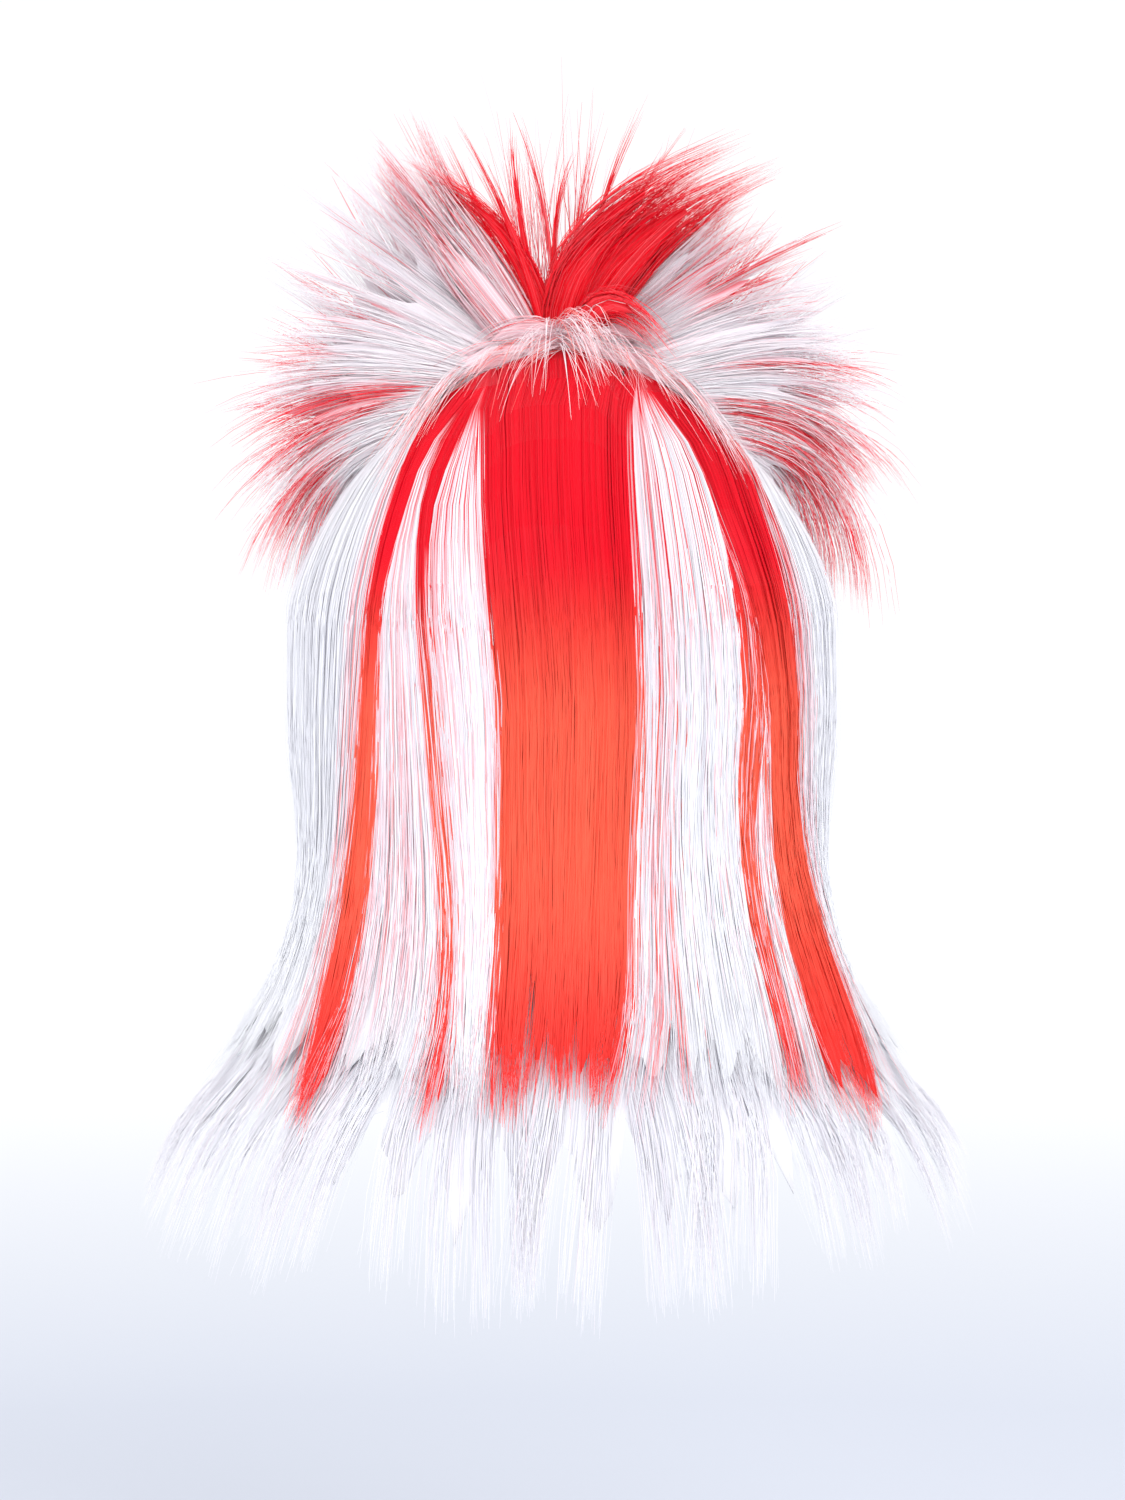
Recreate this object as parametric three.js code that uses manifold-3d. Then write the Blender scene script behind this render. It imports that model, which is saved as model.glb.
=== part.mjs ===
// Mullet wig: a spiky crown on a stretch cap, and long straight back hair with red stripes.
// Millimetres, +Z up. The face looks along -Y and the long hair hangs at +Y.
// The origin is the top of the head that the cap sits on.

import * as THREE from 'three';
import { LoftGeometry } from 'three/addons/geometries/LoftGeometry.js';
import { mergeVertices } from 'three/addons/utils/BufferGeometryUtils.js';
import Module from 'manifold-3d';

const wasm = await Module();
wasm.setup();

// Head and cap
const HEAD_HALF_WIDTH = 78;
const HEAD_HALF_DEPTH = 98;
const HEAD_HALF_HEIGHT = 95;
const CAP_WALL = 2;
const BAND_WALL = 2.4;
const BAND_HEIGHT = 13;
const RIM_DROP_FRONT = 50;
const RIM_DROP_EAR = 115;
const RIM_DROP_NAPE = 165;

// Hair
const GAP = 0.4; // clearance between neighbouring pieces
const PARTING_GAP = 0.8; // clearance between the stripes and panels of the long hair
const LAYER_GAP = 0.95; // clearance between the striped layer and the under layer
const PARTING_RISE = 16; // top of the parting above the head
const PARTING_BACK = 15; // the parting lies this far behind the middle of the head
const HAIR_HALF_WIDTH = 112; // widest half of the long hair, at ear level
const HAIR_HALF_DEPTH = 112;
const TOP_LENGTH = 306; // drop of the striped layer below the parting
const UNDER_LENGTH = 386; // drop of the longest hair below the parting
const TOP_THICK = 5;
const UNDER_THICK = 5;
const PAD_RISE = 13; // outer face of the rooted hair above the head
const SPIKE_REACH = 140; // how far the side spikes reach from the middle of the burst
const BURST_DROP = 18; // middle of the burst of spikes, below the head's top
const FRINGE_LENGTH = 55;
const LOCK_RADIUS = 6.5;
const TIP_RADIUS = 0.9;

const RING = 30; // steps round the cap
const SHELL_STEPS = 6; // steps from the cap's top to its rim
const SPIKE_SIDES = 4;
const MERGE_GAP = 1e-4; // corners closer than this are one

const WHITE = 0xeef1f7;
const RED = 0xe6142b;
const PINK = 0xf6d5dc;
const NET = 0xe9e6e2;
const NET_ROUGHNESS = 0.9;
const ELASTIC_ROUGHNESS = 0.85;
const WHITE_ROUGHNESS = 0.45;
const RED_ROUGHNESS = 0.4;

const rad = THREE.MathUtils.degToRad;
const lerp = THREE.MathUtils.lerp;
const vec = (x, y, z) => new THREE.Vector3(x, y, z);

// A repeatable unevenness between -1 and 1
const uneven = (k) => Math.sin(k * k * 1.7 + k * 2.3 + 0.5);

// Solids

function toSolid(geometry) {

	const plain = new THREE.BufferGeometry();
	plain.setAttribute('position', geometry.getAttribute('position'));
	plain.setIndex(geometry.index);
	const merged = mergeVertices(plain, MERGE_GAP);
	const index = merged.index.array;
	const kept = [];
	for (let i = 0; i < index.length; i += 3) {

		const [a, b, c] = [index[i], index[i + 1], index[i + 2]];
		if (a !== b && b !== c && c !== a) kept.push(a, b, c);

	}

	const build = (triangles) => new wasm.Manifold(new wasm.Mesh({
		numProp: 3,
		vertProperties: new Float32Array(merged.attributes.position.array),
		triVerts: new Uint32Array(triangles)
	}));
	const solid = build(kept);
	return solid.volume() > 0 ? solid : build(kept.toReversed());

}

const joined = (solids) => solids.reduce((whole, solid) => whole.add(solid));

// The largest body of a solid, without the crumbs that a cut leaves
function largest(solid) {

	const bodies = solid.decompose();
	return bodies.reduce((best, body) => (body.volume() > best.volume() ? body : best));

}

function toMesh(name, solid, colour, roughness) {

	const { vertProperties, triVerts } = largest(solid).getMesh();
	const geometry = new THREE.BufferGeometry();
	geometry.setAttribute('position', new THREE.BufferAttribute(vertProperties, 3));
	geometry.setIndex(new THREE.BufferAttribute(triVerts, 1));
	geometry.computeVertexNormals();
	const mesh = new THREE.Mesh(geometry, new THREE.MeshStandardMaterial({ color: colour, roughness, metalness: 0 }));
	mesh.name = name;
	return mesh;

}

// Cap

function headPoint(azimuth, polar, lift) {

	return vec(
		(HEAD_HALF_WIDTH + lift) * Math.sin(polar) * Math.cos(azimuth),
		(HEAD_HALF_DEPTH + lift) * Math.sin(polar) * Math.sin(azimuth),
		(HEAD_HALF_HEIGHT + lift) * Math.cos(polar) - HEAD_HALF_HEIGHT
	);

}

// Angle from the top of the head to the cap's rim: high at the forehead, low at the nape
function rimPolar(azimuth) {

	const middle = (RIM_DROP_FRONT + RIM_DROP_NAPE) / 4 + RIM_DROP_EAR / 2;
	const tilt = (RIM_DROP_NAPE - RIM_DROP_FRONT) / 2;
	const earDip = RIM_DROP_EAR - middle;
	const drop = middle + tilt * Math.sin(azimuth) + earDip * Math.cos(2 * azimuth);
	return Math.acos(1 - drop / HEAD_HALF_HEIGHT);

}

const ringOf = (point) => Array.from({ length: RING }, (_, i) => point((i / RING) * 2 * Math.PI));

function stretchCap() {

	const bandAngle = (BAND_HEIGHT + GAP) / HEAD_HALF_HEIGHT;
	const shell = (share, lift) => ringOf((a) => headPoint(a, share * (rimPolar(a) - bandAngle), lift));
	const rings = [];
	for (let i = 0; i <= SHELL_STEPS; i++) rings.push(shell(i / SHELL_STEPS, 0));
	for (let i = SHELL_STEPS; i >= 0; i--) rings.push(shell(i / SHELL_STEPS, CAP_WALL));
	return toSolid(new LoftGeometry(rings, { capStart: false, capEnd: false }));

}

function edgeBand() {

	const bandAngle = BAND_HEIGHT / HEAD_HALF_HEIGHT;
	const sections = ringOf((a) => {

		const low = rimPolar(a);
		const high = low - bandAngle;
		return [
			headPoint(a, high, 0), headPoint(a, high, BAND_WALL),
			headPoint(a, low, BAND_WALL), headPoint(a, low, 0)
		];

	});
	sections.push(sections[0]);
	return toSolid(new LoftGeometry(sections, { capStart: false, capEnd: false }));

}

// Spiky crown

// Where the crown is rooted: front and back as shares of HEAD_HALF_DEPTH, and turns from
// the top of the head in degrees
const ROOTS_FRONT = -0.82;
const FRINGE_BACK = -0.61; // the fringe meets the spikes behind it here
const ROLL_FRONT = 0.04;
const ROOTS_BACK = 0.12;
const TOP_TURN = 24; // the side spikes start here
const SIDE_TURN = 53; // and end here
const LAP = 0.01; // the top spikes are rooted this much further back than the roll's front
const TURN_LAP = 1; // the roll and the fringe are rooted this much wider than the spikes

// A point of the crown on the slice at y, turned beta from the top, lifted off the head
function crownPoint(y, beta, lift) {

	const slice = Math.sqrt(Math.max(0, 1 - (y / (HEAD_HALF_DEPTH + lift)) ** 2));
	return vec(
		(HEAD_HALF_WIDTH + lift) * slice * Math.sin(beta),
		y,
		(HEAD_HALF_HEIGHT + lift) * slice * Math.cos(beta) - HEAD_HALF_HEIGHT
	);

}

// The rooted hair over a stretch of the crown: a curved slab on the cap
function rootPad({ front, back, from, to, steps = 5, slices = 4 }, grow) {

	const [lowLift, highLift] = [BAND_WALL + GAP - grow, PAD_RISE + grow];
	const side = grow / HEAD_HALF_WIDTH;
	const angles = Array.from({ length: steps + 1 }, (_, i) => lerp(rad(from) - side, rad(to) + side, i / steps));
	const sections = [];
	for (let i = 0; i <= slices; i++) {

		const y = lerp(front - grow, back + grow, i / slices);
		const outer = angles.map((beta) => crownPoint(y, beta, highLift));
		const inner = angles.toReversed().map((beta) => crownPoint(y, beta, lowLift));
		sections.push([...outer, ...inner]);

	}

	return toSolid(new LoftGeometry(sections, { capStart: true, capEnd: true }));

}

const SPIKE_STATIONS = [[0, 1], [0.55, 0.75], [1, 0]]; // share of length, share of radius

// A tapering lock from root to tip that leaves the head towards the bend
function spike(root, bend, tip, radius, grow) {

	const curve = new THREE.QuadraticBezierCurve3(root, bend, tip);
	const sections = SPIKE_STATIONS.map(([along, width]) => {

		const travel = curve.getTangent(along);
		const overrun = along === 0 ? -grow : along === 1 ? grow : 0;
		const centre = curve.getPoint(along).addScaledVector(travel, overrun);
		const side = vec(-travel.z, 0, travel.x).normalize();
		const other = travel.clone().cross(side);
		const size = TIP_RADIUS + (radius - TIP_RADIUS) * width + grow;
		return Array.from({ length: SPIKE_SIDES }, (_, i) => {

			const turn = (i / SPIKE_SIDES) * 2 * Math.PI;
			return centre.clone()
				.addScaledVector(side, size * Math.cos(turn))
				.addScaledVector(other, size * Math.sin(turn));

		});

	});
	return toSolid(new LoftGeometry(sections, { capStart: true, capEnd: true }));

}

// Fans of side spikes, from the top down: turn from straight up in degrees, reach as a
// share of SPIKE_REACH, and the turn of the root from the top of the head
const LEFT_FAN = [
	[33, 1.00, 24], [44, 1.00, 28], [61, 0.98, 32], [74, 0.88, 36], [84, 0.98, 40],
	[98, 0.94, 44], [109, 0.99, 47], [119, 0.94, 50]
];
const RIGHT_FAN = [
	[36, 0.82, 24], [50, 0.87, 28], [63, 0.92, 32], [74, 0.92, 36], [84, 0.95, 40],
	[96, 0.97, 44], [105, 0.92, 47], [120, 0.99, 50]
];

// Rows of side spikes from front to back: y of root and tip as shares of
// HEAD_HALF_DEPTH, and the share of the fan's reach
const FAN_ROWS = [[-0.48, -0.78, 0.84], [-0.20, -0.30, 0.97], [0.04, 0.06, 1.00]];
const REACH_SPREAD = 0.04; // unevenness of the side spikes' reach, as a share
const TURN_SPREAD = 3; // unevenness of their turn in degrees
const ARCH = 0.08; // how far a spike that stands up arches, as a share of its length
const ARCH_GROWTH = 0.3; // what a turn of ARCH_TURN degrees adds to it
const ARCH_TURN = 120;
const ARCH_WAY = { out: 0.5, up: 0.85 };

function sideSpikes(fan, side, grow) {

	const [from, to] = side > 0 ? [TOP_TURN, SIDE_TURN] : [-SIDE_TURN, -TOP_TURN];
	const pad = { front: FRINGE_BACK * HEAD_HALF_DEPTH, back: ROOTS_BACK * HEAD_HALF_DEPTH, from, to };
	const solids = [rootPad(pad, grow)];
	FAN_ROWS.forEach(([rootY, tipY, rowReach], row) => fan.forEach(([turn, reach, rootTurn], i) => {

		const length = SPIKE_REACH * reach * rowReach * (1 - REACH_SPREAD * (1 + uneven(i + 8 * row)));
		const angle = rad(turn + TURN_SPREAD * uneven(i + 4 * row));
		const root = crownPoint(rootY * HEAD_HALF_DEPTH, rad(side * rootTurn), PAD_RISE - LOCK_RADIUS / 2);
		const tip = vec(
			side * length * Math.sin(angle),
			tipY * HEAD_HALF_DEPTH,
			length * Math.cos(angle) - BURST_DROP
		);
		const arch = (ARCH + ARCH_GROWTH * (turn / ARCH_TURN) ** 2) * root.distanceTo(tip);
		const way = vec(ARCH_WAY.out * side, 0, ARCH_WAY.up);
		const bend = root.clone().lerp(tip, 0.5).add(way.multiplyScalar(arch));
		solids.push(spike(root, bend, tip, LOCK_RADIUS, grow));

	}));
	return joined(solids);

}

// Spikes on top: root turn in degrees and root y as a share of HEAD_HALF_DEPTH, then the
// tip as shares of SPIKE_REACH
const TOP_SPIKES = [
	[-18, -0.46, -0.36, -0.42, 0.64], [-7, -0.50, -0.12, -0.48, 0.60], [5, -0.50, 0.08, -0.48, 0.58],
	[17, -0.46, 0.36, -0.42, 0.62], [-4, -0.30, -0.02, -0.22, 0.84], [8, -0.30, 0.16, -0.24, 0.72],
	[-16, -0.20, -0.50, -0.16, 0.56], [18, -0.16, 0.44, -0.10, 0.70], [3, -0.10, 0.12, -0.04, 0.74]
];

const TOP_SPIKE_WIDTH = 0.55; // radius as a share of LOCK_RADIUS
const TOP_SPIKE_BEND = 0.3; // the bend lies this share of the way across to the tip

function crownSpikes(grow) {

	const pad = {
		front: FRINGE_BACK * HEAD_HALF_DEPTH, back: (ROLL_FRONT + LAP) * HEAD_HALF_DEPTH,
		from: -TOP_TURN, to: TOP_TURN
	};
	const solids = TOP_SPIKES.map(([rootTurn, rootY, x, y, z]) => {

		const root = crownPoint(rootY * HEAD_HALF_DEPTH, rad(rootTurn), PAD_RISE - LOCK_RADIUS / 2);
		const tip = vec(x, y, z).multiplyScalar(SPIKE_REACH);
		const bend = root.clone().lerp(tip, 0.5).setX(lerp(root.x, tip.x, TOP_SPIKE_BEND));
		return spike(root, bend, tip, TOP_SPIKE_WIDTH * LOCK_RADIUS, grow);

	});
	return joined([rootPad(pad, grow), ...solids]);

}

// Locks of the red tufts: root x and y, bend and tip, as shares of SPIKE_REACH, and
// radius as a share of LOCK_RADIUS
const RIGHT_TUFT = [
	[-0.04, -0.02, -0.14, 0.00, 0.34, -0.44, 0.00, 0.67, 1.35],
	[-0.06, 0.00, -0.18, 0.02, 0.28, -0.53, 0.03, 0.61, 1.45],
	[-0.08, -0.08, -0.20, -0.10, 0.24, -0.47, -0.12, 0.51, 1.25],
	[-0.03, -0.08, -0.08, -0.10, 0.36, -0.34, -0.12, 0.68, 1.15],
	[-0.07, 0.00, -0.20, 0.08, 0.32, -0.31, 0.11, 0.14, 1.00],
	[-0.02, -0.03, -0.03, -0.02, 0.38, -0.20, 0.00, 0.76, 0.60]
];
const LEFT_TUFT = [
	[0.06, -0.03, 0.12, -0.03, 0.26, 0.39, -0.02, 0.62, 1.20],
	[0.06, 0.01, 0.14, 0.03, 0.22, 0.36, 0.05, 0.58, 0.90],
	[0.07, -0.05, 0.12, -0.06, 0.30, 0.29, -0.06, 0.70, 0.70],
	[0.05, -0.02, 0.05, -0.01, 0.34, 0.17, 0.00, 0.75, 0.50]
];

const TUFT_ROOT = 0.8; // the locks are rooted this share of LOCK_RADIUS above the band's thickness

function tuft(locks, grow) {

	return joined(locks.map(([rootX, rootY, bendX, bendY, bendZ, tipX, tipY, tipZ, width]) => {

		const radius = width * LOCK_RADIUS;
		const lift = BAND_WALL + GAP + TUFT_ROOT * LOCK_RADIUS;
		const turn = Math.asin(rootX * SPIKE_REACH / (HEAD_HALF_WIDTH + lift));
		const root = crownPoint(rootY * SPIKE_REACH, turn, lift);
		const bend = vec(bendX, bendY, bendZ).multiplyScalar(SPIKE_REACH);
		const tip = vec(tipX, tipY, tipZ).multiplyScalar(SPIKE_REACH);
		return spike(root, bend, tip, radius, grow);

	}));

}

// Locks that roll over the parting: turn and y of root and tip, rise of bend and tip as
// shares of PAD_RISE, and radius as a share of LOCK_RADIUS
const ROLL_LOCKS = [
	[-4, 0.06, 42, 0.09, 2.6, 1.3, 0.95],
	[0, 0.09, 33, 0.14, 2.1, 1.3, 0.80],
	[2, 0.06, -52, 0.09, 2.6, 1.3, 0.95],
	[-4, 0.09, -42, 0.14, 2.1, 1.2, 0.80],
	[-2, 0.08, -17, 0.26, 2.7, 1.4, 0.80],
	[-6, 0.08, -9, 0.25, 2.9, 1.4, 0.70],
	[3, 0.08, -3, 0.23, 2.5, 1.4, 0.60]
];

const ROLL_ROOT = 0.8; // the roll's locks are rooted at this share of PAD_RISE

function partingRoll(grow) {

	const pad = {
		front: ROLL_FRONT * HEAD_HALF_DEPTH, back: ROOTS_BACK * HEAD_HALF_DEPTH,
		from: -TOP_TURN - TURN_LAP, to: TOP_TURN + TURN_LAP
	};
	const solids = ROLL_LOCKS.map(([fromTurn, fromY, toTurn, toY, bendRise, tipRise, width]) => {

		const root = crownPoint(fromY * HEAD_HALF_DEPTH, rad(fromTurn), ROLL_ROOT * PAD_RISE);
		const tip = crownPoint(toY * HEAD_HALF_DEPTH, rad(toTurn), tipRise * PAD_RISE);
		const middle = [(fromY + toY) / 2, rad((fromTurn + toTurn) / 2)];
		const bend = crownPoint(middle[0] * HEAD_HALF_DEPTH, middle[1], bendRise * PAD_RISE);
		return spike(root, bend, tip, width * LOCK_RADIUS, grow);

	});
	return joined([rootPad({ ...pad, slices: 2 }, grow), ...solids]);

}

// Rows of spikes over the forehead: y of the root as a share of HEAD_HALF_DEPTH, how far the
// spikes lean forward and rise as shares of FRINGE_LENGTH, and how many they are
const FRINGE_ROWS = [[-0.76, -0.85, 0.20, 8], [-0.66, -0.64, 0.62, 7]];
const FRINGE_TURN = 48; // turn of the outermost spikes in degrees
const FRINGE_FLARE = 0.75; // how far a spike leans outward for its turn
const FRINGE_SPREAD = 0.12; // unevenness of the spikes' length, as a share
const FRINGE_ARCH = 0.12; // how far they arch, as a share of their length
const FRINGE_WIDTH = 0.9; // radius as a share of LOCK_RADIUS

function fringeSpikes(grow) {

	const pad = {
		front: ROOTS_FRONT * HEAD_HALF_DEPTH, back: FRINGE_BACK * HEAD_HALF_DEPTH,
		from: -SIDE_TURN - TURN_LAP, to: SIDE_TURN + TURN_LAP, steps: 11, slices: 3
	};
	const solids = [rootPad(pad, grow)];
	FRINGE_ROWS.forEach(([rootY, forward, rise, count]) => {

		for (let i = 0; i < count; i++) {

			const turn = rad(lerp(-FRINGE_TURN, FRINGE_TURN, i / (count - 1)));
			const root = crownPoint(rootY * HEAD_HALF_DEPTH, turn, PAD_RISE);
			const reach = FRINGE_LENGTH * (1 + FRINGE_SPREAD * uneven(i));
			const lean = vec(FRINGE_FLARE * Math.sin(turn), forward, rise);
			const tip = root.clone().add(lean.multiplyScalar(reach));
			const bend = root.clone().lerp(tip, 0.5).add(vec(0, 0, FRINGE_ARCH * reach));
			solids.push(spike(root, bend, tip, FRINGE_WIDTH * LOCK_RADIUS, grow));

		}

	});
	return joined(solids);

}

// Long back hair

// Outer face below its widest level: share of the way down to the longest tips, half-width
// and half-depth as shares of HAIR_HALF_WIDTH and HAIR_HALF_DEPTH
const FALL = [
	[0.00, 1.000, 1.000], [0.18, 1.000, 0.980], [0.33, 0.965, 0.945], [0.46, 1.000, 0.930],
	[0.58, 1.150, 0.935], [0.71, 1.450, 0.950], [0.85, 1.620, 0.990], [1.00, 1.700, 1.050]
];
const fallCurve = new THREE.CubicInterpolant(
	FALL.map((row) => row[0]), FALL.flatMap((row) => row.slice(1)), 2
);
const WIDEST_Z = -HEAD_HALF_HEIGHT;
const CREST_CURVE = 1.6; // shape of the head's hair from behind: 2 would be an ellipse
const CREST_END = 0.9995; // the outer face ends this share of the way up, short of a point
const SLOPE_STEP = 0.5; // half the height over which the outer face's slope is taken

// Half-width and half-depth of the long hair's outer face at height z
function fallSize(z) {

	if (z < WIDEST_Z) {

		const down = (WIDEST_Z - z) / (UNDER_LENGTH - PARTING_RISE + WIDEST_Z);
		const [width, depth] = fallCurve.evaluate(down);
		return { width: width * HAIR_HALF_WIDTH, depth: depth * HAIR_HALF_DEPTH };

	}

	const up = Math.min(CREST_END, (z - WIDEST_Z) / (PARTING_RISE - WIDEST_Z));
	return {
		width: HAIR_HALF_WIDTH * (1 - up ** CREST_CURVE) ** (1 / CREST_CURVE),
		depth: HAIR_HALF_DEPTH * Math.sqrt(1 - up ** 2)
	};

}

// A point of the long hair: angle round from straight behind towards +X, height, and how
// far under the outer face
function hairPoint(angle, z, under) {

	const [s, c] = [Math.sin(angle), Math.cos(angle)];
	const { width, depth } = fallSize(z);
	const [above, below] = [fallSize(z + SLOPE_STEP), fallSize(z - SLOPE_STEP)];
	const slope = ((above.width - below.width) * depth * s * s + (above.depth - below.depth) * width * c * c)
		/ (2 * SLOPE_STEP);
	const outward = vec(depth * s, width * c, -slope).normalize();
	return vec(width * s, depth * c, z).addScaledVector(outward, -under);

}

// Partings between the pieces of the striped layer: drop as a share of TOP_LENGTH, then
// the place across of each parting as a share of HAIR_HALF_WIDTH, from +X to -X: both
// edges of the left outer, left inner, centre, right inner and right outer stripes
const PARTINGS = [
	[0.04, 0.44, 0.28, 0.27, 0.265, 0.26, -0.265, -0.29, -0.29, -0.30, -0.45],
	[0.07, 0.46, 0.34, 0.33, 0.305, 0.29, -0.25, -0.34, -0.34, -0.35, -0.52],
	[0.14, 0.55, 0.48, 0.44, 0.385, 0.29, -0.245, -0.47, -0.47, -0.475, -0.65],
	[0.20, 0.61, 0.54, 0.51, 0.455, 0.29, -0.25, -0.53, -0.53, -0.535, -0.71],
	[0.33, 0.69, 0.63, 0.51, 0.465, 0.265, -0.27, -0.61, -0.66, -0.67, -0.81],
	[0.46, 0.72, 0.65, 0.48, 0.435, 0.23, -0.28, -0.64, -0.71, -0.725, -0.85],
	[0.60, 0.75, 0.66, 0.45, 0.405, 0.23, -0.265, -0.62, -0.68, -0.735, -0.85],
	[0.73, 0.80, 0.69, 0.42, 0.375, 0.23, -0.255, -0.66, -0.71, -0.77, -0.92],
	[0.86, 0.88, 0.76, 0.43, 0.385, 0.255, -0.25, -0.75, -0.80, -0.865, -1.05],
	[0.93, 0.94, 0.83, 0.45, 0.405, 0.265, -0.23, -0.82, -0.865, -0.94, -1.14],
	[1.00, 0.99, 0.92, 0.48, 0.43, 0.27, -0.22, -0.88, -0.92, -1.02, -1.21]
];
const LAST_PARTING = PARTINGS[0].length; // the front edge of the right side panel
const partingCurve = new THREE.CubicInterpolant(
	PARTINGS.map((row) => row[0]), PARTINGS.flatMap((row) => row.slice(1)), LAST_PARTING - 1
);
const LOWEST_PARTING = 1.1; // the curve of the partings is followed down to this drop
const SIDE_LIMIT = 0.995; // a parting stays this share of the way out, short of the sides
const FRONT_EDGE = rad(120); // the side panels end this far round from straight behind
const SIDE_TOP_DROP = 46; // top of the side panels below the parting
const CREST_MARGIN = 0.3; // the hair starts this far below the very top of the parting
const HALVINGS = 24; // steps of the search for the top of a run

const dropZ = (share) => PARTING_RISE - share * TOP_LENGTH;

// Angle of a parting at height z: the first and last are the front edges of the side panels
function partingAngle(number, z) {

	if (number === 0) return FRONT_EDGE;
	if (number === LAST_PARTING) return -FRONT_EDGE;
	const drop = THREE.MathUtils.clamp((PARTING_RISE - z) / TOP_LENGTH, PARTINGS[0][0], LOWEST_PARTING);
	const across = partingCurve.evaluate(drop)[number - 1] * HAIR_HALF_WIDTH;
	return Math.asin(THREE.MathUtils.clamp(across / fallSize(z).width, -SIDE_LIMIT, SIDE_LIMIT));

}

// Height at which a run of hair leaves the parting, or the side spikes further forward
function topOfRun(angleAt) {

	let [high, low] = [PARTING_RISE - CREST_MARGIN, PARTING_RISE - SIDE_TOP_DROP];
	const behind = (z) => fallSize(z).depth * Math.cos(angleAt(z)) > PARTING_BACK;
	if (!behind(low)) return low;
	for (let i = 0; i < HALVINGS; i++) {

		const middle = (high + low) / 2;
		if (behind(middle)) low = middle;
		else high = middle;

	}

	return low;

}

// Rows of the long hair: shares of the way from the top to LEVEL_DROP, then drops as
// shares of TOP_LENGTH down to where the lock tips part
const LEVEL_DROP = 0.33;
const UPPER_ROWS = [0, 0.07, 0.2, 0.4, 0.68, 1];
const LOWER_ROWS = [0.48, 0.61, 0.73, 0.86];
const TIP_THICK = 0.3; // share of a lock's thickness left at its tip
const VALLEY_SINK = 0.8; // grooves between locks lie this far under their ridges
const BRANCH_START = 0.2; // share of its width that a stripe has where it branches off
const END_SPREAD = 0.02; // unevenness of the locks' tips, as a share of TOP_LENGTH

// A layer of locks side by side that hangs from the parting. angleAt gives the angle at a
// share across and a height, endDrop each lock's tip as a share of TOP_LENGTH, and split
// how far up the locks part. branchRow is the lower row where a stripe branches off
function lockSheet({ count, angleAt, under, thick, endDrop, split, endShares, branchRow = null }) {

	const columns = 2 * count;
	const sections = Array.from({ length: columns + 1 }, (_, i) => {

		const across = i / columns;
		const onRidge = i % 2 === 1;
		const top = topOfRun((z) => angleAt(across, z));
		const tipDrop = endDrop(Math.min(count - 1, Math.floor(i / 2)));
		const end = onRidge ? tipDrop : tipDrop - split;
		const tips = endShares.map((share) => dropZ(lerp(LOWER_ROWS.at(-1), end, share)));
		const heights = branchRow === null
			? [...UPPER_ROWS.map((share) => lerp(top, dropZ(LEVEL_DROP), share)), ...LOWER_ROWS.map(dropZ), ...tips]
			: [...[LEVEL_DROP, ...LOWER_ROWS].slice(branchRow).map(dropZ), ...tips];
		const outline = (depth) => heights.map((z, row) => {

			const reach = branchRow !== null && row === 0 ? BRANCH_START : 1;
			return hairPoint(angleAt(0.5 + (across - 0.5) * reach, z), z, depth(z, row));

		});
		const last = heights.length - 1;
		const outer = outline((z, row) => under(z) + (onRidge || row === last ? 0 : VALLEY_SINK));
		const inner = outline((z, row) => under(z) + (row === last ? TIP_THICK : 1) * thick(z));
		return { outer, inner };

	});
	const closed = ({ outer, inner }) => [...outer.toReversed(), ...inner];
	const edge = ({ inner }) => closed({ outer: inner, inner });
	return toSolid(new LoftGeometry(
		[edge(sections[0]), ...sections.map(closed), edge(sections.at(-1))],
		{ capStart: false, capEnd: false }
	));

}

// Pieces of the striped layer: name, colour, numbers of its two partings, locks across,
// drop of the tips and, where a stripe branches off, the lower row where it starts
const STRIPED_LAYER = [
	['left_side_panel', WHITE, 0, 1, 5, 0.98],
	['left_outer_stripe', RED, 1, 2, 2, 1.01],
	['left_white_panel', WHITE, 2, 3, 2, 0.99],
	['left_inner_stripe', RED, 3, 4, 1, 1.01],
	['left_centre_panel', WHITE, 4, 5, 3, 1.00],
	['centre_stripe', RED, 5, 6, 5, 0.99],
	['right_centre_panel', WHITE, 6, 7, 4, 1.00],
	['right_inner_stripe', RED, 7, 8, 1, 0.98, 0],
	['right_gap_panel', WHITE, 8, 9, 1, 0.99, 1],
	['right_outer_stripe', RED, 9, 10, 2, 1.01],
	['right_side_panel', WHITE, 10, 11, 5, 0.98]
];
const STRIPE_SPLIT = 0.07; // how far up the striped locks part, as a share of TOP_LENGTH
const STRIPE_END_SHARES = [0.55, 1]; // rows of a tip, as shares of the way from the last lower row

function stripedPiece(first, second, count, endDrop, branchRow) {

	const halfGap = (z) => PARTING_GAP / 2 / fallSize(z).depth;
	return lockSheet({
		count,
		angleAt: (across, z) => lerp(
			partingAngle(second, z) + halfGap(z), partingAngle(first, z) - halfGap(z), across
		),
		under: () => 0,
		thick: () => TOP_THICK,
		endDrop: (lock) => endDrop + END_SPREAD * uneven(lock + first),
		split: STRIPE_SPLIT,
		endShares: STRIPE_END_SHARES,
		branchRow
	});

}

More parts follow.
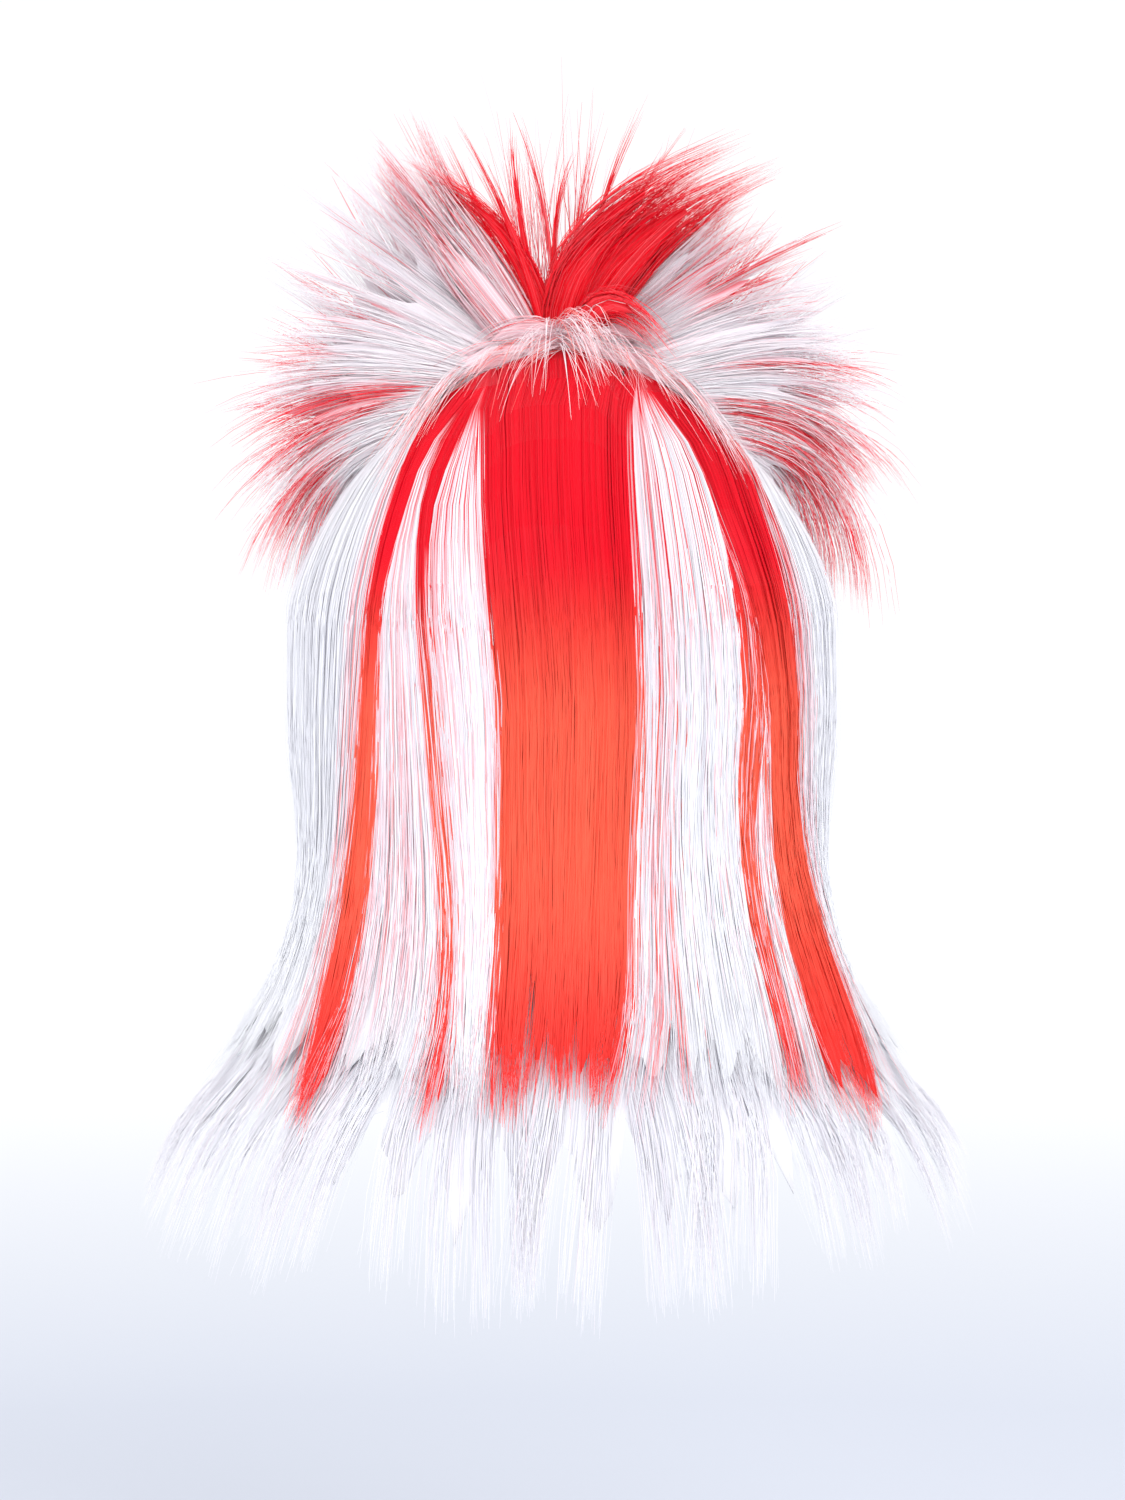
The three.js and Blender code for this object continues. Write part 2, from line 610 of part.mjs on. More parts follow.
// Tips of the long white hair: turn from straight behind in degrees, drop as a share of
// TOP_LENGTH
const UNDER_TIPS = [
	[-120, 1.03], [-90, 1.08], [-62, 1.15], [-34, 1.20], [-8, 1.25], [8, 1.26],
	[34, 1.20], [62, 1.16], [90, 1.11], [120, 1.03]
];
const underTips = new THREE.LinearInterpolant(
	UNDER_TIPS.map((row) => row[0]), UNDER_TIPS.map((row) => row[1]), 1
);
const UNDER_LOCKS = 13;
const LAYER_SLACK = 2; // the layers lie this much further apart at the tips
const UNDER_SPLIT = 0.12;
const UNDER_END_SHARES = [0.2, 0.55, 1];
const UNDER_TOP_SHARE = 0.5; // the under layer is this much thinner at the parting

function underLayer() {

	const frontDegrees = THREE.MathUtils.radToDeg(FRONT_EDGE);
	return lockSheet({
		count: UNDER_LOCKS,
		angleAt: (across) => rad(lerp(-frontDegrees, frontDegrees, across)),
		under: (z) => TOP_THICK + LAYER_GAP + LAYER_SLACK * (PARTING_RISE - z) / TOP_LENGTH,
		thick: (z) => UNDER_THICK * THREE.MathUtils.clamp(
			lerp(UNDER_TOP_SHARE, 1, (PARTING_RISE - z) / (PARTING_RISE - WIDEST_Z)), UNDER_TOP_SHARE, 1
		),
		endDrop: (lock) => {

			const turn = lerp(-frontDegrees, frontDegrees, (lock + 0.5) / UNDER_LOCKS);
			return underTips.evaluate(turn)[0] + END_SPREAD * uneven(lock);

		},
		split: UNDER_SPLIT,
		endShares: UNDER_END_SHARES
	});

}

// Assembly

const wig = new THREE.Group();
const taken = []; // grown copies of the pieces that later ones keep clear of

function addHair(name, colour, roughness, build) {

	const clear = taken.length ? build(0).subtract(joined(taken)) : build(0);
	wig.add(toMesh(name, clear, colour, roughness));
	taken.push(build(GAP));

}

wig.add(toMesh('stretch_cap', stretchCap(), NET, NET_ROUGHNESS));
wig.add(toMesh('edge_band', edgeBand(), NET, ELASTIC_ROUGHNESS));

addHair('red_tuft_right', RED, RED_ROUGHNESS, (grow) => tuft(RIGHT_TUFT, grow));
addHair('red_tuft_left', RED, RED_ROUGHNESS, (grow) => tuft(LEFT_TUFT, grow));
addHair('parting_roll', PINK, WHITE_ROUGHNESS, partingRoll);
addHair('crown_spikes', WHITE, WHITE_ROUGHNESS, crownSpikes);
addHair('side_spikes_left', WHITE, WHITE_ROUGHNESS, (grow) => sideSpikes(LEFT_FAN, 1, grow));
addHair('side_spikes_right', WHITE, WHITE_ROUGHNESS, (grow) => sideSpikes(RIGHT_FAN, -1, grow));
addHair('fringe_spikes', WHITE, WHITE_ROUGHNESS, fringeSpikes);

const crown = joined(taken);
for (const [name, colour, first, second, count, endDrop, branchRow] of STRIPED_LAYER) {

	const piece = stripedPiece(first, second, count, endDrop, branchRow).subtract(crown);
	wig.add(toMesh(name, piece, colour, colour === RED ? RED_ROUGHNESS : WHITE_ROUGHNESS));

}

wig.add(toMesh('under_layer', underLayer().subtract(crown), WHITE, WHITE_ROUGHNESS));

export default wig;
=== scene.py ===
"""Mullet wig: the fibres, net cap and elastic band, and the studio that shows them.

Metres, +Z up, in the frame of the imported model. The face looks along -Y and the long hair hangs
at +Y. Every hair piece is one closed mass of hair with modelled strands over it.
"""

import math

import bpy
import numpy as np
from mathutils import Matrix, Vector


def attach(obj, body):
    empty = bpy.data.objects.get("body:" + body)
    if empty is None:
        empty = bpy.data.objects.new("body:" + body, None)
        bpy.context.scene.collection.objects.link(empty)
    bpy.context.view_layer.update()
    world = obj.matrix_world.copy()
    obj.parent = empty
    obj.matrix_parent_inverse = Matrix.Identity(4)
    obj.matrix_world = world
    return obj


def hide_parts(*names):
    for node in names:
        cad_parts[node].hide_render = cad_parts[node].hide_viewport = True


bl_info = {
    "name": "Mullet Wig",
    "version": (1, 0, 0),
    "blender": (4, 5, 0),
    "location": "View3D > Sidebar > Wig",
    "description": "Roots the strands of a mullet wig on its cap and sets up the studio",
    "category": "Object",
}

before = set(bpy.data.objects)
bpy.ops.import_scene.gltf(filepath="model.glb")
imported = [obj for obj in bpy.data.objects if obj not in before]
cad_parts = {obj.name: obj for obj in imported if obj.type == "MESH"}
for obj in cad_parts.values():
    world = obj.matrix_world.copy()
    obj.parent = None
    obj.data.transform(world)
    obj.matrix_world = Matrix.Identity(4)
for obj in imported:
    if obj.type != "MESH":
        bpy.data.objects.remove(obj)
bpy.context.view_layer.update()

# Head and cap
HEAD_HALF_WIDTH = 0.078
HEAD_HALF_DEPTH = 0.098
HEAD_HALF_HEIGHT = 0.095
CAP_WALL = 0.002
BAND_WALL = 0.0024
BAND_HEIGHT = 0.013
RIM_DROP_FRONT = 0.050
RIM_DROP_EAR = 0.115
RIM_DROP_NAPE = 0.165
PIECE_GAP = 0.0004

# Hair
PARTING_RISE = 0.016
PARTING_BACK = 0.015
HAIR_HALF_WIDTH = 0.112
HAIR_HALF_DEPTH = 0.112
TOP_LENGTH = 0.306
UNDER_LENGTH = 0.386
TOP_THICK = 0.005
UNDER_THICK = 0.005
PAD_RISE = 0.013
SPIKE_REACH = 0.140
BURST_DROP = 0.018
FRINGE_LENGTH = 0.055
LOCK_RADIUS = 0.0065
TIP_RADIUS = 0.0009
LAYER_GAP = 0.00095
LAYER_SLACK = 0.002

# Long hair: share of the way down to the longest tips, half-width and half-depth as shares
# of HAIR_HALF_WIDTH and HAIR_HALF_DEPTH
FALL = np.array([
    [0.00, 1.000, 1.000], [0.18, 1.000, 0.980], [0.33, 0.965, 0.945], [0.46, 1.000, 0.930],
    [0.58, 1.150, 0.935], [0.71, 1.450, 0.950], [0.85, 1.620, 0.990], [1.00, 1.700, 1.050],
])
WIDEST_Z = -HEAD_HALF_HEIGHT
CREST_CURVE = 1.6
FRONT_EDGE = math.radians(120)
SIDE_TOP_DROP = 0.046
LEVEL_DROP = 0.33

# Partings of the striped layer: drop as a share of TOP_LENGTH, then the place across as a
# share of HAIR_HALF_WIDTH, from +X to -X
PARTINGS = np.array([
    [0.04, 0.44, 0.28, 0.27, 0.265, 0.26, -0.265, -0.29, -0.29, -0.29, -0.45],
    [0.07, 0.46, 0.34, 0.33, 0.305, 0.29, -0.25, -0.34, -0.34, -0.34, -0.52],
    [0.14, 0.55, 0.48, 0.44, 0.385, 0.29, -0.245, -0.47, -0.47, -0.47, -0.65],
    [0.20, 0.61, 0.54, 0.49, 0.445, 0.29, -0.25, -0.53, -0.53, -0.53, -0.71],
    [0.33, 0.69, 0.63, 0.51, 0.465, 0.265, -0.27, -0.61, -0.66, -0.66, -0.81],
    [0.46, 0.72, 0.65, 0.48, 0.435, 0.23, -0.28, -0.64, -0.71, -0.725, -0.85],
    [0.60, 0.75, 0.66, 0.45, 0.405, 0.23, -0.265, -0.62, -0.68, -0.735, -0.85],
    [0.73, 0.80, 0.69, 0.42, 0.375, 0.23, -0.255, -0.66, -0.71, -0.77, -0.92],
    [0.86, 0.88, 0.76, 0.43, 0.385, 0.255, -0.25, -0.75, -0.80, -0.865, -1.05],
    [0.93, 0.94, 0.83, 0.45, 0.405, 0.265, -0.23, -0.82, -0.865, -0.94, -1.14],
    [1.00, 0.99, 0.92, 0.48, 0.43, 0.27, -0.22, -0.88, -0.92, -1.02, -1.21],
])

# Striped layer: node, redness of its hair, numbers of its two partings, locks across, drop
# of the tips, drop where it starts (0 is the parting), and its share of the strands
STRIPED_LAYER = [
    ("left_side_panel", 0, 0, 1, 5, 0.98, 0.0, 0.17),
    ("left_outer_stripe", 1, 1, 2, 2, 1.01, 0.0, 0.055),
    ("left_white_panel", 0, 2, 3, 2, 0.99, 0.0, 0.085),
    ("left_inner_stripe", 1, 3, 4, 1, 1.01, 0.0, 0.03),
    ("left_centre_panel", 0, 4, 5, 3, 1.00, 0.0, 0.09),
    ("centre_stripe", 1, 5, 6, 5, 0.99, 0.0, 0.165),
    ("right_centre_panel", 0, 6, 7, 4, 1.00, 0.0, 0.12),
    ("right_inner_stripe", 1, 7, 8, 1, 0.98, 0.22, 0.03),
    ("right_gap_panel", 0, 8, 9, 1, 0.99, 0.38, 0.03),
    ("right_outer_stripe", 1, 9, 10, 2, 1.01, 0.0, 0.065),
    ("right_side_panel", 0, 10, 11, 5, 0.98, 0.0, 0.16),
]

# Veins of the other colour in the striped layer: place across (0 at -X) and half-width as
# shares, share of the strands in it, their redness, and the drops between which it shows
VEINS = {
    "left_side_panel": [(0.03, 0.07, 0.6, 0.45, 0.05, 1.1)],
    "left_outer_stripe": [(0.0, 0.16, 0.5, 0.4, 0.28, 1.1), (1.0, 0.16, 0.5, 0.4, 0.2, 1.1)],
    "left_white_panel": [
        (1.0, 0.3, 0.6, 0.4, 0.2, 1.1), (0.0, 0.2, 0.5, 0.5, 0.2, 1.1), (0.5, 0.5, 0.45, 0.9, 0.0, 0.34),
        (0.5, 0.6, 0.7, 0.38, 0.1, 0.95),
    ],
    "left_inner_stripe": [(0.5, 0.5, 0.5, 0.3, 0.35, 1.1), (0.0, 0.3, 0.7, 0.2, 0.3, 1.1)],
    "left_centre_panel": [
        (0.5, 0.5, 0.55, 0.9, 0.0, 0.38), (0.75, 0.3, 0.55, 0.85, 0.0, 0.5), (0.1, 0.16, 0.5, 0.4, 0.2, 1.1),
        (0.9, 0.14, 0.5, 0.5, 0.2, 1.1), (0.5, 0.5, 0.5, 0.24, 0.1, 0.9),
    ],
    "centre_stripe": [(0.0, 0.05, 0.4, 0.5, 0.1, 1.1), (1.0, 0.04, 0.4, 0.5, 0.1, 1.1)],
    "right_centre_panel": [
        (0.86, 0.18, 0.5, 0.5, 0.0, 1.1), (0.8, 0.25, 0.12, 0.95, 0.0, 1.1), (0.5, 0.5, 0.16, 0.85, 0.0, 0.45),
        (0.02, 0.09, 0.5, 0.4, 0.1, 1.1), (0.6, 0.6, 0.35, 0.2, 0.1, 0.9),
    ],
    "right_inner_stripe": [(0.5, 0.5, 0.3, 0.5, 0.2, 1.1)],
    "right_gap_panel": [(0.5, 0.6, 0.45, 0.55, 0.0, 1.1)],
    "right_outer_stripe": [(0.0, 0.14, 0.5, 0.45, 0.2, 1.1), (1.0, 0.08, 0.4, 0.5, 0.2, 1.1)],
    "right_side_panel": [(0.95, 0.05, 0.6, 0.85, 0.05, 0.5), (0.92, 0.08, 0.4, 0.35, 0.3, 1.1)],
}

# White panels whose hair is red down to this drop, as a share of TOP_LENGTH
RED_TOPS = {
    "left_white_panel": 0.155, "left_centre_panel": 0.14, "right_centre_panel": 0.10, "right_gap_panel": 0.50,
}

# Notches in the cut ends: place across, half-width and height as a share of TOP_LENGTH
NOTCHES = {
    "centre_stripe": [(0.71, 0.05, 0.11), (0.36, 0.025, 0.05), (0.12, 0.02, 0.03), (0.9, 0.02, 0.03)],
    "right_outer_stripe": [(0.5, 0.06, 0.05)],
    "left_outer_stripe": [(0.4, 0.06, 0.04)],
}

# Under layer: turn from straight behind in degrees, drop of the tips as a share of TOP_LENGTH
UNDER_TIPS = np.array([
    [-120, 1.03], [-90, 1.08], [-62, 1.15], [-34, 1.20], [-8, 1.25], [8, 1.26],
    [34, 1.20], [62, 1.16], [90, 1.11], [120, 1.03],
])
UNDER_LOCKS = 13
TIP_SWEEP = 0.006
END_SINK = 0.0045

# Fans of side spikes, from the top down: turn from straight up in degrees, reach as a share
# of SPIKE_REACH, and turn of the root in degrees
LEFT_FAN = np.array([
    [33, 1.00, 24], [44, 1.00, 28], [61, 0.98, 32], [74, 0.88, 36],
    [84, 0.98, 40], [98, 0.94, 44], [109, 0.99, 47], [119, 0.94, 50], [128, 0.72, 53],
])
RIGHT_FAN = np.array([
    [36, 0.82, 24], [50, 0.87, 28], [63, 0.92, 32], [74, 0.92, 36],
    [84, 0.95, 40], [96, 0.97, 44], [105, 0.92, 47], [120, 0.99, 50], [129, 0.72, 53],
])
# Red streaks in the fans: turn of the tip and half-width in degrees, the shares of the length
# between which it shows, and its share of the strands there
LEFT_STREAKS = [
    (33, 5.0, 0.10, 1.0, 0.40), (61, 0.8, 0.40, 1.0, 0.85), (68, 1.0, 0.60, 0.9, 0.30), (74, 2.0, 0.66, 1.0, 0.50),
    (80, 1.2, 0.68, 1.0, 0.90), (91, 4.2, 0.12, 1.0, 0.60), (98, 3.0, 0.20, 1.0, 0.70), (105, 1.8, 0.35, 1.0, 0.50),
    (112, 2.2, 0.40, 1.0, 0.85), (118, 1.6, 0.50, 1.0, 0.95),
]
RIGHT_STREAKS = [
    (44, 3.0, 0.30, 1.0, 0.30), (49, 1.4, 0.42, 1.0, 0.90), (54, 1.4, 0.42, 1.0, 0.90), (82, 3.5, 0.25, 1.0, 0.38),
    (88, 1.6, 0.45, 1.0, 0.55), (101, 4.5, 0.08, 1.0, 0.72), (110, 2.0, 0.30, 1.0, 0.45), (119, 2.4, 0.10, 1.0, 0.95),
    (124, 1.2, 0.40, 1.0, 0.60),
]
# Rows of side spikes from front to back: y of root and tip as shares of HEAD_HALF_DEPTH,
# and the share of the fan's reach
FAN_ROWS = np.array([[-0.48, -0.78, 0.84], [-0.20, -0.30, 0.97], [0.04, 0.06, 1.00]])
# Closed masses in a fan: the row of each, and its share of the strands
FAN_WEBS = np.array([[0.0, 0.20], [0.5, 0.12], [1.0, 0.14], [1.5, 0.16], [2.0, 0.38]])

# Spikes on top: root turn in degrees and root y as a share of HEAD_HALF_DEPTH, the tip as
# shares of SPIKE_REACH, and redness
TOP_SPIKES = [
    (-18, -0.46, -0.36, -0.42, 0.64, 0.3), (-7, -0.50, -0.12, -0.48, 0.60, 0.2),
    (5, -0.50, 0.08, -0.48, 0.58, 0.2), (17, -0.46, 0.36, -0.42, 0.62, 0.3),
    (-4, -0.30, -0.02, -0.22, 0.84, 0.5), (8, -0.30, 0.16, -0.24, 0.72, 0.5),
    (-16, -0.20, -0.50, -0.16, 0.56, 0.4), (18, -0.16, 0.44, -0.10, 0.70, 0.3),
    (3, -0.10, 0.12, -0.04, 0.74, 0.6),
]

# Locks of the red tufts: root x and y, bend and tip, as shares of SPIKE_REACH, radius as a
# share of LOCK_RADIUS, and redness
RIGHT_TUFT = [
    (-0.01, -0.02, 0.06, 0.01, 0.46, -0.45, 0.02, 0.68, 1.35, 1.0),
    (-0.02, 0.00, -0.11, 0.04, 0.42, -0.55, 0.04, 0.61, 1.45, 1.0),
    (-0.03, -0.04, -0.18, -0.02, 0.35, -0.50, -0.04, 0.53, 1.20, 0.9),
    (-0.02, -0.01, 0.03, 0.03, 0.37, -0.37, 0.03, 0.59, 1.60, 1.0),
    (-0.03, 0.02, -0.09, 0.10, 0.38, -0.29, 0.13, 0.12, 0.85, 0.97),
    (-0.04, -0.06, -0.18, -0.10, 0.30, -0.57, -0.12, 0.46, 0.80, 0.6),
    (-0.02, -0.02, -0.06, -0.02, 0.44, -0.22, 0.00, 0.79, 0.14, 1.0),
    (-0.01, -0.04, -0.02, -0.05, 0.42, -0.11, -0.04, 0.76, 0.10, 0.9),
    (-0.03, -0.03, -0.14, -0.04, 0.46, -0.33, -0.03, 0.73, 0.12, 0.9),
]
LEFT_TUFT = [
    (0.035, -0.01, 0.06, 0.01, 0.46, 0.42, 0.00, 0.63, 0.62, 1.0),
    (0.040, 0.01, 0.09, 0.02, 0.40, 0.29, 0.02, 0.74, 0.22, 1.0),
    (0.05, 0.00, 0.20, 0.01, 0.36, 0.45, 0.00, 0.68, 0.95, 0.22),
    (0.06, 0.02, 0.30, 0.03, 0.33, 0.50, 0.02, 0.64, 1.10, 0.12),
    (0.06, -0.03, 0.24, -0.04, 0.38, 0.42, -0.05, 0.76, 0.80, 0.35),
    (0.035, 0.00, 0.15, 0.00, 0.54, 0.14, 0.00, 0.74, 0.16, 1.0),
    (0.020, -0.02, 0.01, -0.02, 0.50, 0.14, 0.00, 0.80, 0.12, 0.9),
    (0.015, -0.01, 0.05, -0.02, 0.50, -0.02, 0.00, 0.66, 0.10, 0.9),
    (0.050, -0.05, 0.20, -0.06, 0.44, 0.36, -0.06, 0.74, 0.12, 0.9),
]

# Locks that roll over the parting: turn and y of root and tip, rise of bend and tip as
# shares of PAD_RISE, and half-width as a share of LOCK_RADIUS
ROLL_LOCKS = [
    (-2, 0.05, 48, 0.11, 2.4, 1.20, 1.00), (2, 0.10, 36, 0.14, 2.0, 1.20, 0.90),
    (0, 0.05, -56, 0.11, 2.4, 1.25, 1.00), (-3, 0.10, -44, 0.14, 2.0, 1.15, 0.90),
    (6, 0.02, -24, 0.10, 2.9, 1.70, 0.90), (-8, 0.02, 22, 0.10, 2.7, 1.60, 0.85),
    (-14, 0.12, 13, 0.15, 1.75, 1.35, 0.70), (14, 0.12, -15, 0.15, 1.65, 1.35, 0.70),
]
# Pale wisps that hang over the parting: x of the root, x and z of the tip and rise of the bend
# in metres, and strands
WISPS = [
    (0.003, -0.0155, 0.004, 0.024, 60), (0.000, -0.022, 0.010, 0.024, 40), (0.004, -0.010, -0.010, 0.024, 9),
    (-0.004, -0.030, -0.004, 0.024, 9), (0.006, 0.010, -0.004, 0.024, 8), (0.008, 0.024, -0.014, 0.024, 6),
    (-0.004, 0.012, 0.0125, 0.006, 45), (0.004, -0.012, 0.0125, 0.006, 45), (0.000, 0.020, 0.008, 0.014, 50), (-0.014, -0.032, 0.004, 0.012, 40), (0.020, 0.040, 0.001, 0.010, 50),
    (0.036, 0.060, -0.018, 0.008, 60), (0.048, 0.072, -0.036, 0.007, 50), (-0.026, -0.046, -0.003, 0.010, 50),
    (-0.040, -0.062, -0.018, 0.008, 60), (-0.050, -0.073, -0.034, 0.007, 50),
]

# Spikes over the forehead: y of the root as a share of HEAD_HALF_DEPTH, lean forward, rise
FRINGE_ROWS = [(-0.76, -0.85, 0.20, 8), (-0.66, -0.64, 0.62, 7)]

ROOT_LIFT = PAD_RISE - LOCK_RADIUS / 2
SWEEP_TURNS = (5, 52)
WEB_REACH = 0.64
WEB_HALF = (0.0036, 0.0004)
SWEEP_Y = (-0.006, 0.012)
SWEEP_LIFT = (0.019, 0.0125)
UP_STATIONS = 8
FALL_STATIONS = 6
CROWN_STATIONS = 7
UV_NAME = "OFBake"
STRAND_MAP_SHARE = 0.7


class WigFibres(bpy.types.PropertyGroup):
    """How fine, how many and how unruly the strands are."""

    long_width: bpy.props.FloatProperty(
        name="Long Strand Width", description="Width of a strand of the long hair",
        default=0.00052, min=0.0001, unit="LENGTH", precision=5)
    crown_width: bpy.props.FloatProperty(
        name="Crown Strand Width", description="Width of a strand of the spiky crown",
        default=0.00042, min=0.0001, unit="LENGTH", precision=5)
    striped_count: bpy.props.IntProperty(
        name="Striped Strands", description="Strands in the striped layer", default=3300, min=100)
    under_count: bpy.props.IntProperty(
        name="Under Strands", description="Strands in the under layer", default=2200, min=100)
    fan_count: bpy.props.IntProperty(
        name="Side Strands", description="Strands in the spikes of one side", default=3050, min=50)
    wave: bpy.props.FloatProperty(
        name="Wave", description="How far a long strand wanders to the side at its tip",
        default=0.0022, min=0.0, unit="LENGTH", precision=4)
    clump: bpy.props.FloatProperty(
        name="Clumping", description="How closely the tips of a lock draw together",
        default=0.62, min=0.0, max=1.0, subtype="FACTOR")
    fray: bpy.props.FloatProperty(
        name="Fray", description="Spread of the tips' lengths as a share of the lock's",
        default=0.05, min=0.0, max=0.5, subtype="FACTOR")


class WigColours(bpy.types.PropertyGroup):
    """Colours of the fibres, the cap and the band."""

    white: bpy.props.FloatVectorProperty(
        name="White", description="Lit white fibre", subtype="COLOR", size=3,
        default=(0.97, 0.97, 0.985), min=0.0, max=1.0)
    # The shade white is partly tone that differs at random from strand to strand, and partly painted shade: the masses
    # under the strands get a low tone and so this darker white.
    shade: bpy.props.FloatVectorProperty(
        name="White Shade", description="White fibre that lies deeper", subtype="COLOR", size=3,
        default=(0.82, 0.81, 0.85), min=0.0, max=1.0)
    # Along each red strand the red is painted light: deep red at the roots is painted shade, the orange red halfway
    # down is a painted highlight, then tip red at the tips.
    deep_red: bpy.props.FloatVectorProperty(
        name="Deep Red", description="Red at the roots", subtype="COLOR", size=3,
        default=(0.85, 0.0008, 0.016), min=0.0, max=1.0)
    pink: bpy.props.FloatVectorProperty(
        name="Pink", description="White fibre with red among it", subtype="COLOR", size=3,
        default=(0.97, 0.62, 0.67), min=0.0, max=1.0)
    painted_highlight_red: bpy.props.FloatVectorProperty(
        name="Orange Red", description="Red halfway down", subtype="COLOR", size=3,
        default=(1.0, 0.13, 0.07), min=0.0, max=1.0)
    tip_red: bpy.props.FloatVectorProperty(
        name="Tip Red", description="Red at the tips", subtype="COLOR", size=3,
        default=(1.0, 0.05, 0.044), min=0.0, max=1.0)
    net: bpy.props.FloatVectorProperty(
        name="Net", description="Net of the cap", subtype="COLOR", size=3,
        default=(0.80, 0.78, 0.75), min=0.0, max=1.0)
    elastic: bpy.props.FloatVectorProperty(
        name="Elastic", description="Elastic band", subtype="COLOR", size=3,
        default=(0.84, 0.82, 0.80), min=0.0, max=1.0)


class WigStudio(bpy.types.PropertyGroup):
    """Floor, light and camera."""

    floor_drop: bpy.props.FloatProperty(
        name="Floor Drop", description="Floor below the top of the head",
        default=0.52, min=0.4, unit="LENGTH")
    # Painted shade: the floor is painted this darker colour round the wig, fading to white far off.
    floor_painted_shade: bpy.props.FloatVectorProperty(
        name="Floor", description="Floor close to the wig", subtype="COLOR", size=3,
        default=(0.69, 0.72, 0.80), min=0.0, max=1.0)
    sky: bpy.props.FloatProperty(
        name="Surrounding Light", description="Strength of the white surroundings",
        default=1.04, min=0.0)
    key: bpy.props.FloatProperty(
        name="Key Light", description="Power of the large light behind the camera",
        default=30.0, min=0.0, unit="POWER")
    side: bpy.props.FloatProperty(
        name="Side Light", description="Power of the light at the side",
        default=12.0, min=0.0, unit="POWER")
    camera_distance: bpy.props.FloatProperty(
        name="Camera Distance", description="Camera from the middle of the wig",
        default=2.6, min=0.5, unit="LENGTH")
    camera_elevation: bpy.props.FloatProperty(
        name="Camera Elevation", description="Angle of the camera above the horizon",
        default=math.radians(2.0), subtype="ANGLE")


# Numbers

def lerp(a, b, share):
    return a + (b - a) * share


def unit(vectors):
    return vectors / np.maximum(np.linalg.norm(vectors, axis=-1, keepdims=True), 1e-12)


def smoothstep(low, high, x):
    t = np.clip((x - low) / (high - low), 0, 1)
    return t * t * (3 - 2 * t)


def uneven(k):
    """A repeatable unevenness between -1 and 1."""
    return np.sin(k * k * 1.7 + k * 2.3 + 0.5)


def smooth_curve(knots, values, at):
    """Values on a smooth curve through the knots, level at both ends."""
    slopes = np.diff(values, axis=0) / np.diff(knots)[:, None]
    tangents = np.zeros_like(values)
    tangents[1:-1] = (slopes[1:] + slopes[:-1]) / 2
    i = np.clip(np.searchsorted(knots, at, side="right") - 1, 0, len(knots) - 2)
    span = knots[i + 1] - knots[i]
    t = ((at - knots[i]) / span)[..., None]
    span = span[..., None]
    return (
        (2 * t**3 - 3 * t**2 + 1) * values[i] + (t**3 - 2 * t**2 + t) * span * tangents[i]
        + (3 * t**2 - 2 * t**3) * values[i + 1] + (t**3 - t**2) * span * tangents[i + 1]
    )


# Long hair

def fall_size(z):
    """Half-width and half-depth of the long hair's outer face at height z."""
    z = np.asarray(z, float)
    down = np.clip((WIDEST_Z - z) / (UNDER_LENGTH - PARTING_RISE + WIDEST_Z), 0, 1.08)
    fall = smooth_curve(FALL[:, 0], FALL[:, 1:], down)
    up = np.clip((z - WIDEST_Z) / (PARTING_RISE - WIDEST_Z), 0, 0.9995)
    width = np.where(z < WIDEST_Z, fall[..., 0], (1 - up**CREST_CURVE) ** (1 / CREST_CURVE))
    depth = np.where(z < WIDEST_Z, fall[..., 1], np.sqrt(1 - up**2))
    return width * HAIR_HALF_WIDTH, depth * HAIR_HALF_DEPTH


def hair_point(angle, z, under):
    """Points of the long hair, under its outer face, and the way out at each."""
    step = 0.0005
    s, c = np.sin(angle), np.cos(angle)
    width, depth = fall_size(z)
    (wider, deeper), (narrower, shallower) = fall_size(z + step), fall_size(z - step)
    slope = ((wider - narrower) * depth * s * s + (deeper - shallower) * width * c * c) / (2 * step)
    outward = unit(np.stack([depth * s, width * c, -slope], axis=-1))
    point = np.stack([width * s, depth * c, z + 0 * s], axis=-1)
    return point - outward * np.asarray(under)[..., None], outward


def parting_angle(number, z):
    """Angle of a parting at height z: 0 and 11 are the front edges of the side panels."""
    if number in (0, 11):
        return np.full(np.shape(z), FRONT_EDGE if number == 0 else -FRONT_EDGE)
    drop = np.clip((PARTING_RISE - z) / TOP_LENGTH, 0.04, 1.1)
    across = smooth_curve(PARTINGS[:, 0], PARTINGS[:, number:number + 1], drop)[..., 0]
    return np.arcsin(np.clip(across * HAIR_HALF_WIDTH / fall_size(z)[0], -0.995, 0.995))


def top_of_run(angle_at, count):
    """Height at which each run of hair leaves the parting or the side spikes."""
    high = np.full(count, PARTING_RISE - 0.0003)
    floor = PARTING_RISE - SIDE_TOP_DROP
    low = np.full(count, floor)

    def behind(z):
        return fall_size(z)[1] * np.cos(angle_at(z)) > PARTING_BACK

    reaches = behind(low)
    for _ in range(22):
        middle = (high + low) / 2
        inside = behind(middle)
        low = np.where(inside, middle, low)
        high = np.where(inside, high, middle)
    return np.where(reaches, low, floor)


def run_heights(top, end, up_stations=UP_STATIONS, fall_stations=FALL_STATIONS):
    """Heights of a strand's points, closer together where the head curves."""
    rise = PARTING_RISE - WIDEST_Z
    start = np.arcsin(np.clip((top - WIDEST_Z) / rise, -1, 1))[:, None]
    shares = np.linspace(0, 1, fall_stations + 1)
    if not up_stations:
        return lerp(top[:, None], end[:, None], shares)
    up = WIDEST_Z + rise * np.sin(start * (1 - np.linspace(0, 1, up_stations + 1)))
    return np.concatenate([up, lerp(WIDEST_Z, end[:, None], shares[1:])], axis=1)


def drop_z(share):
    return PARTING_RISE - share * TOP_LENGTH


# Crown

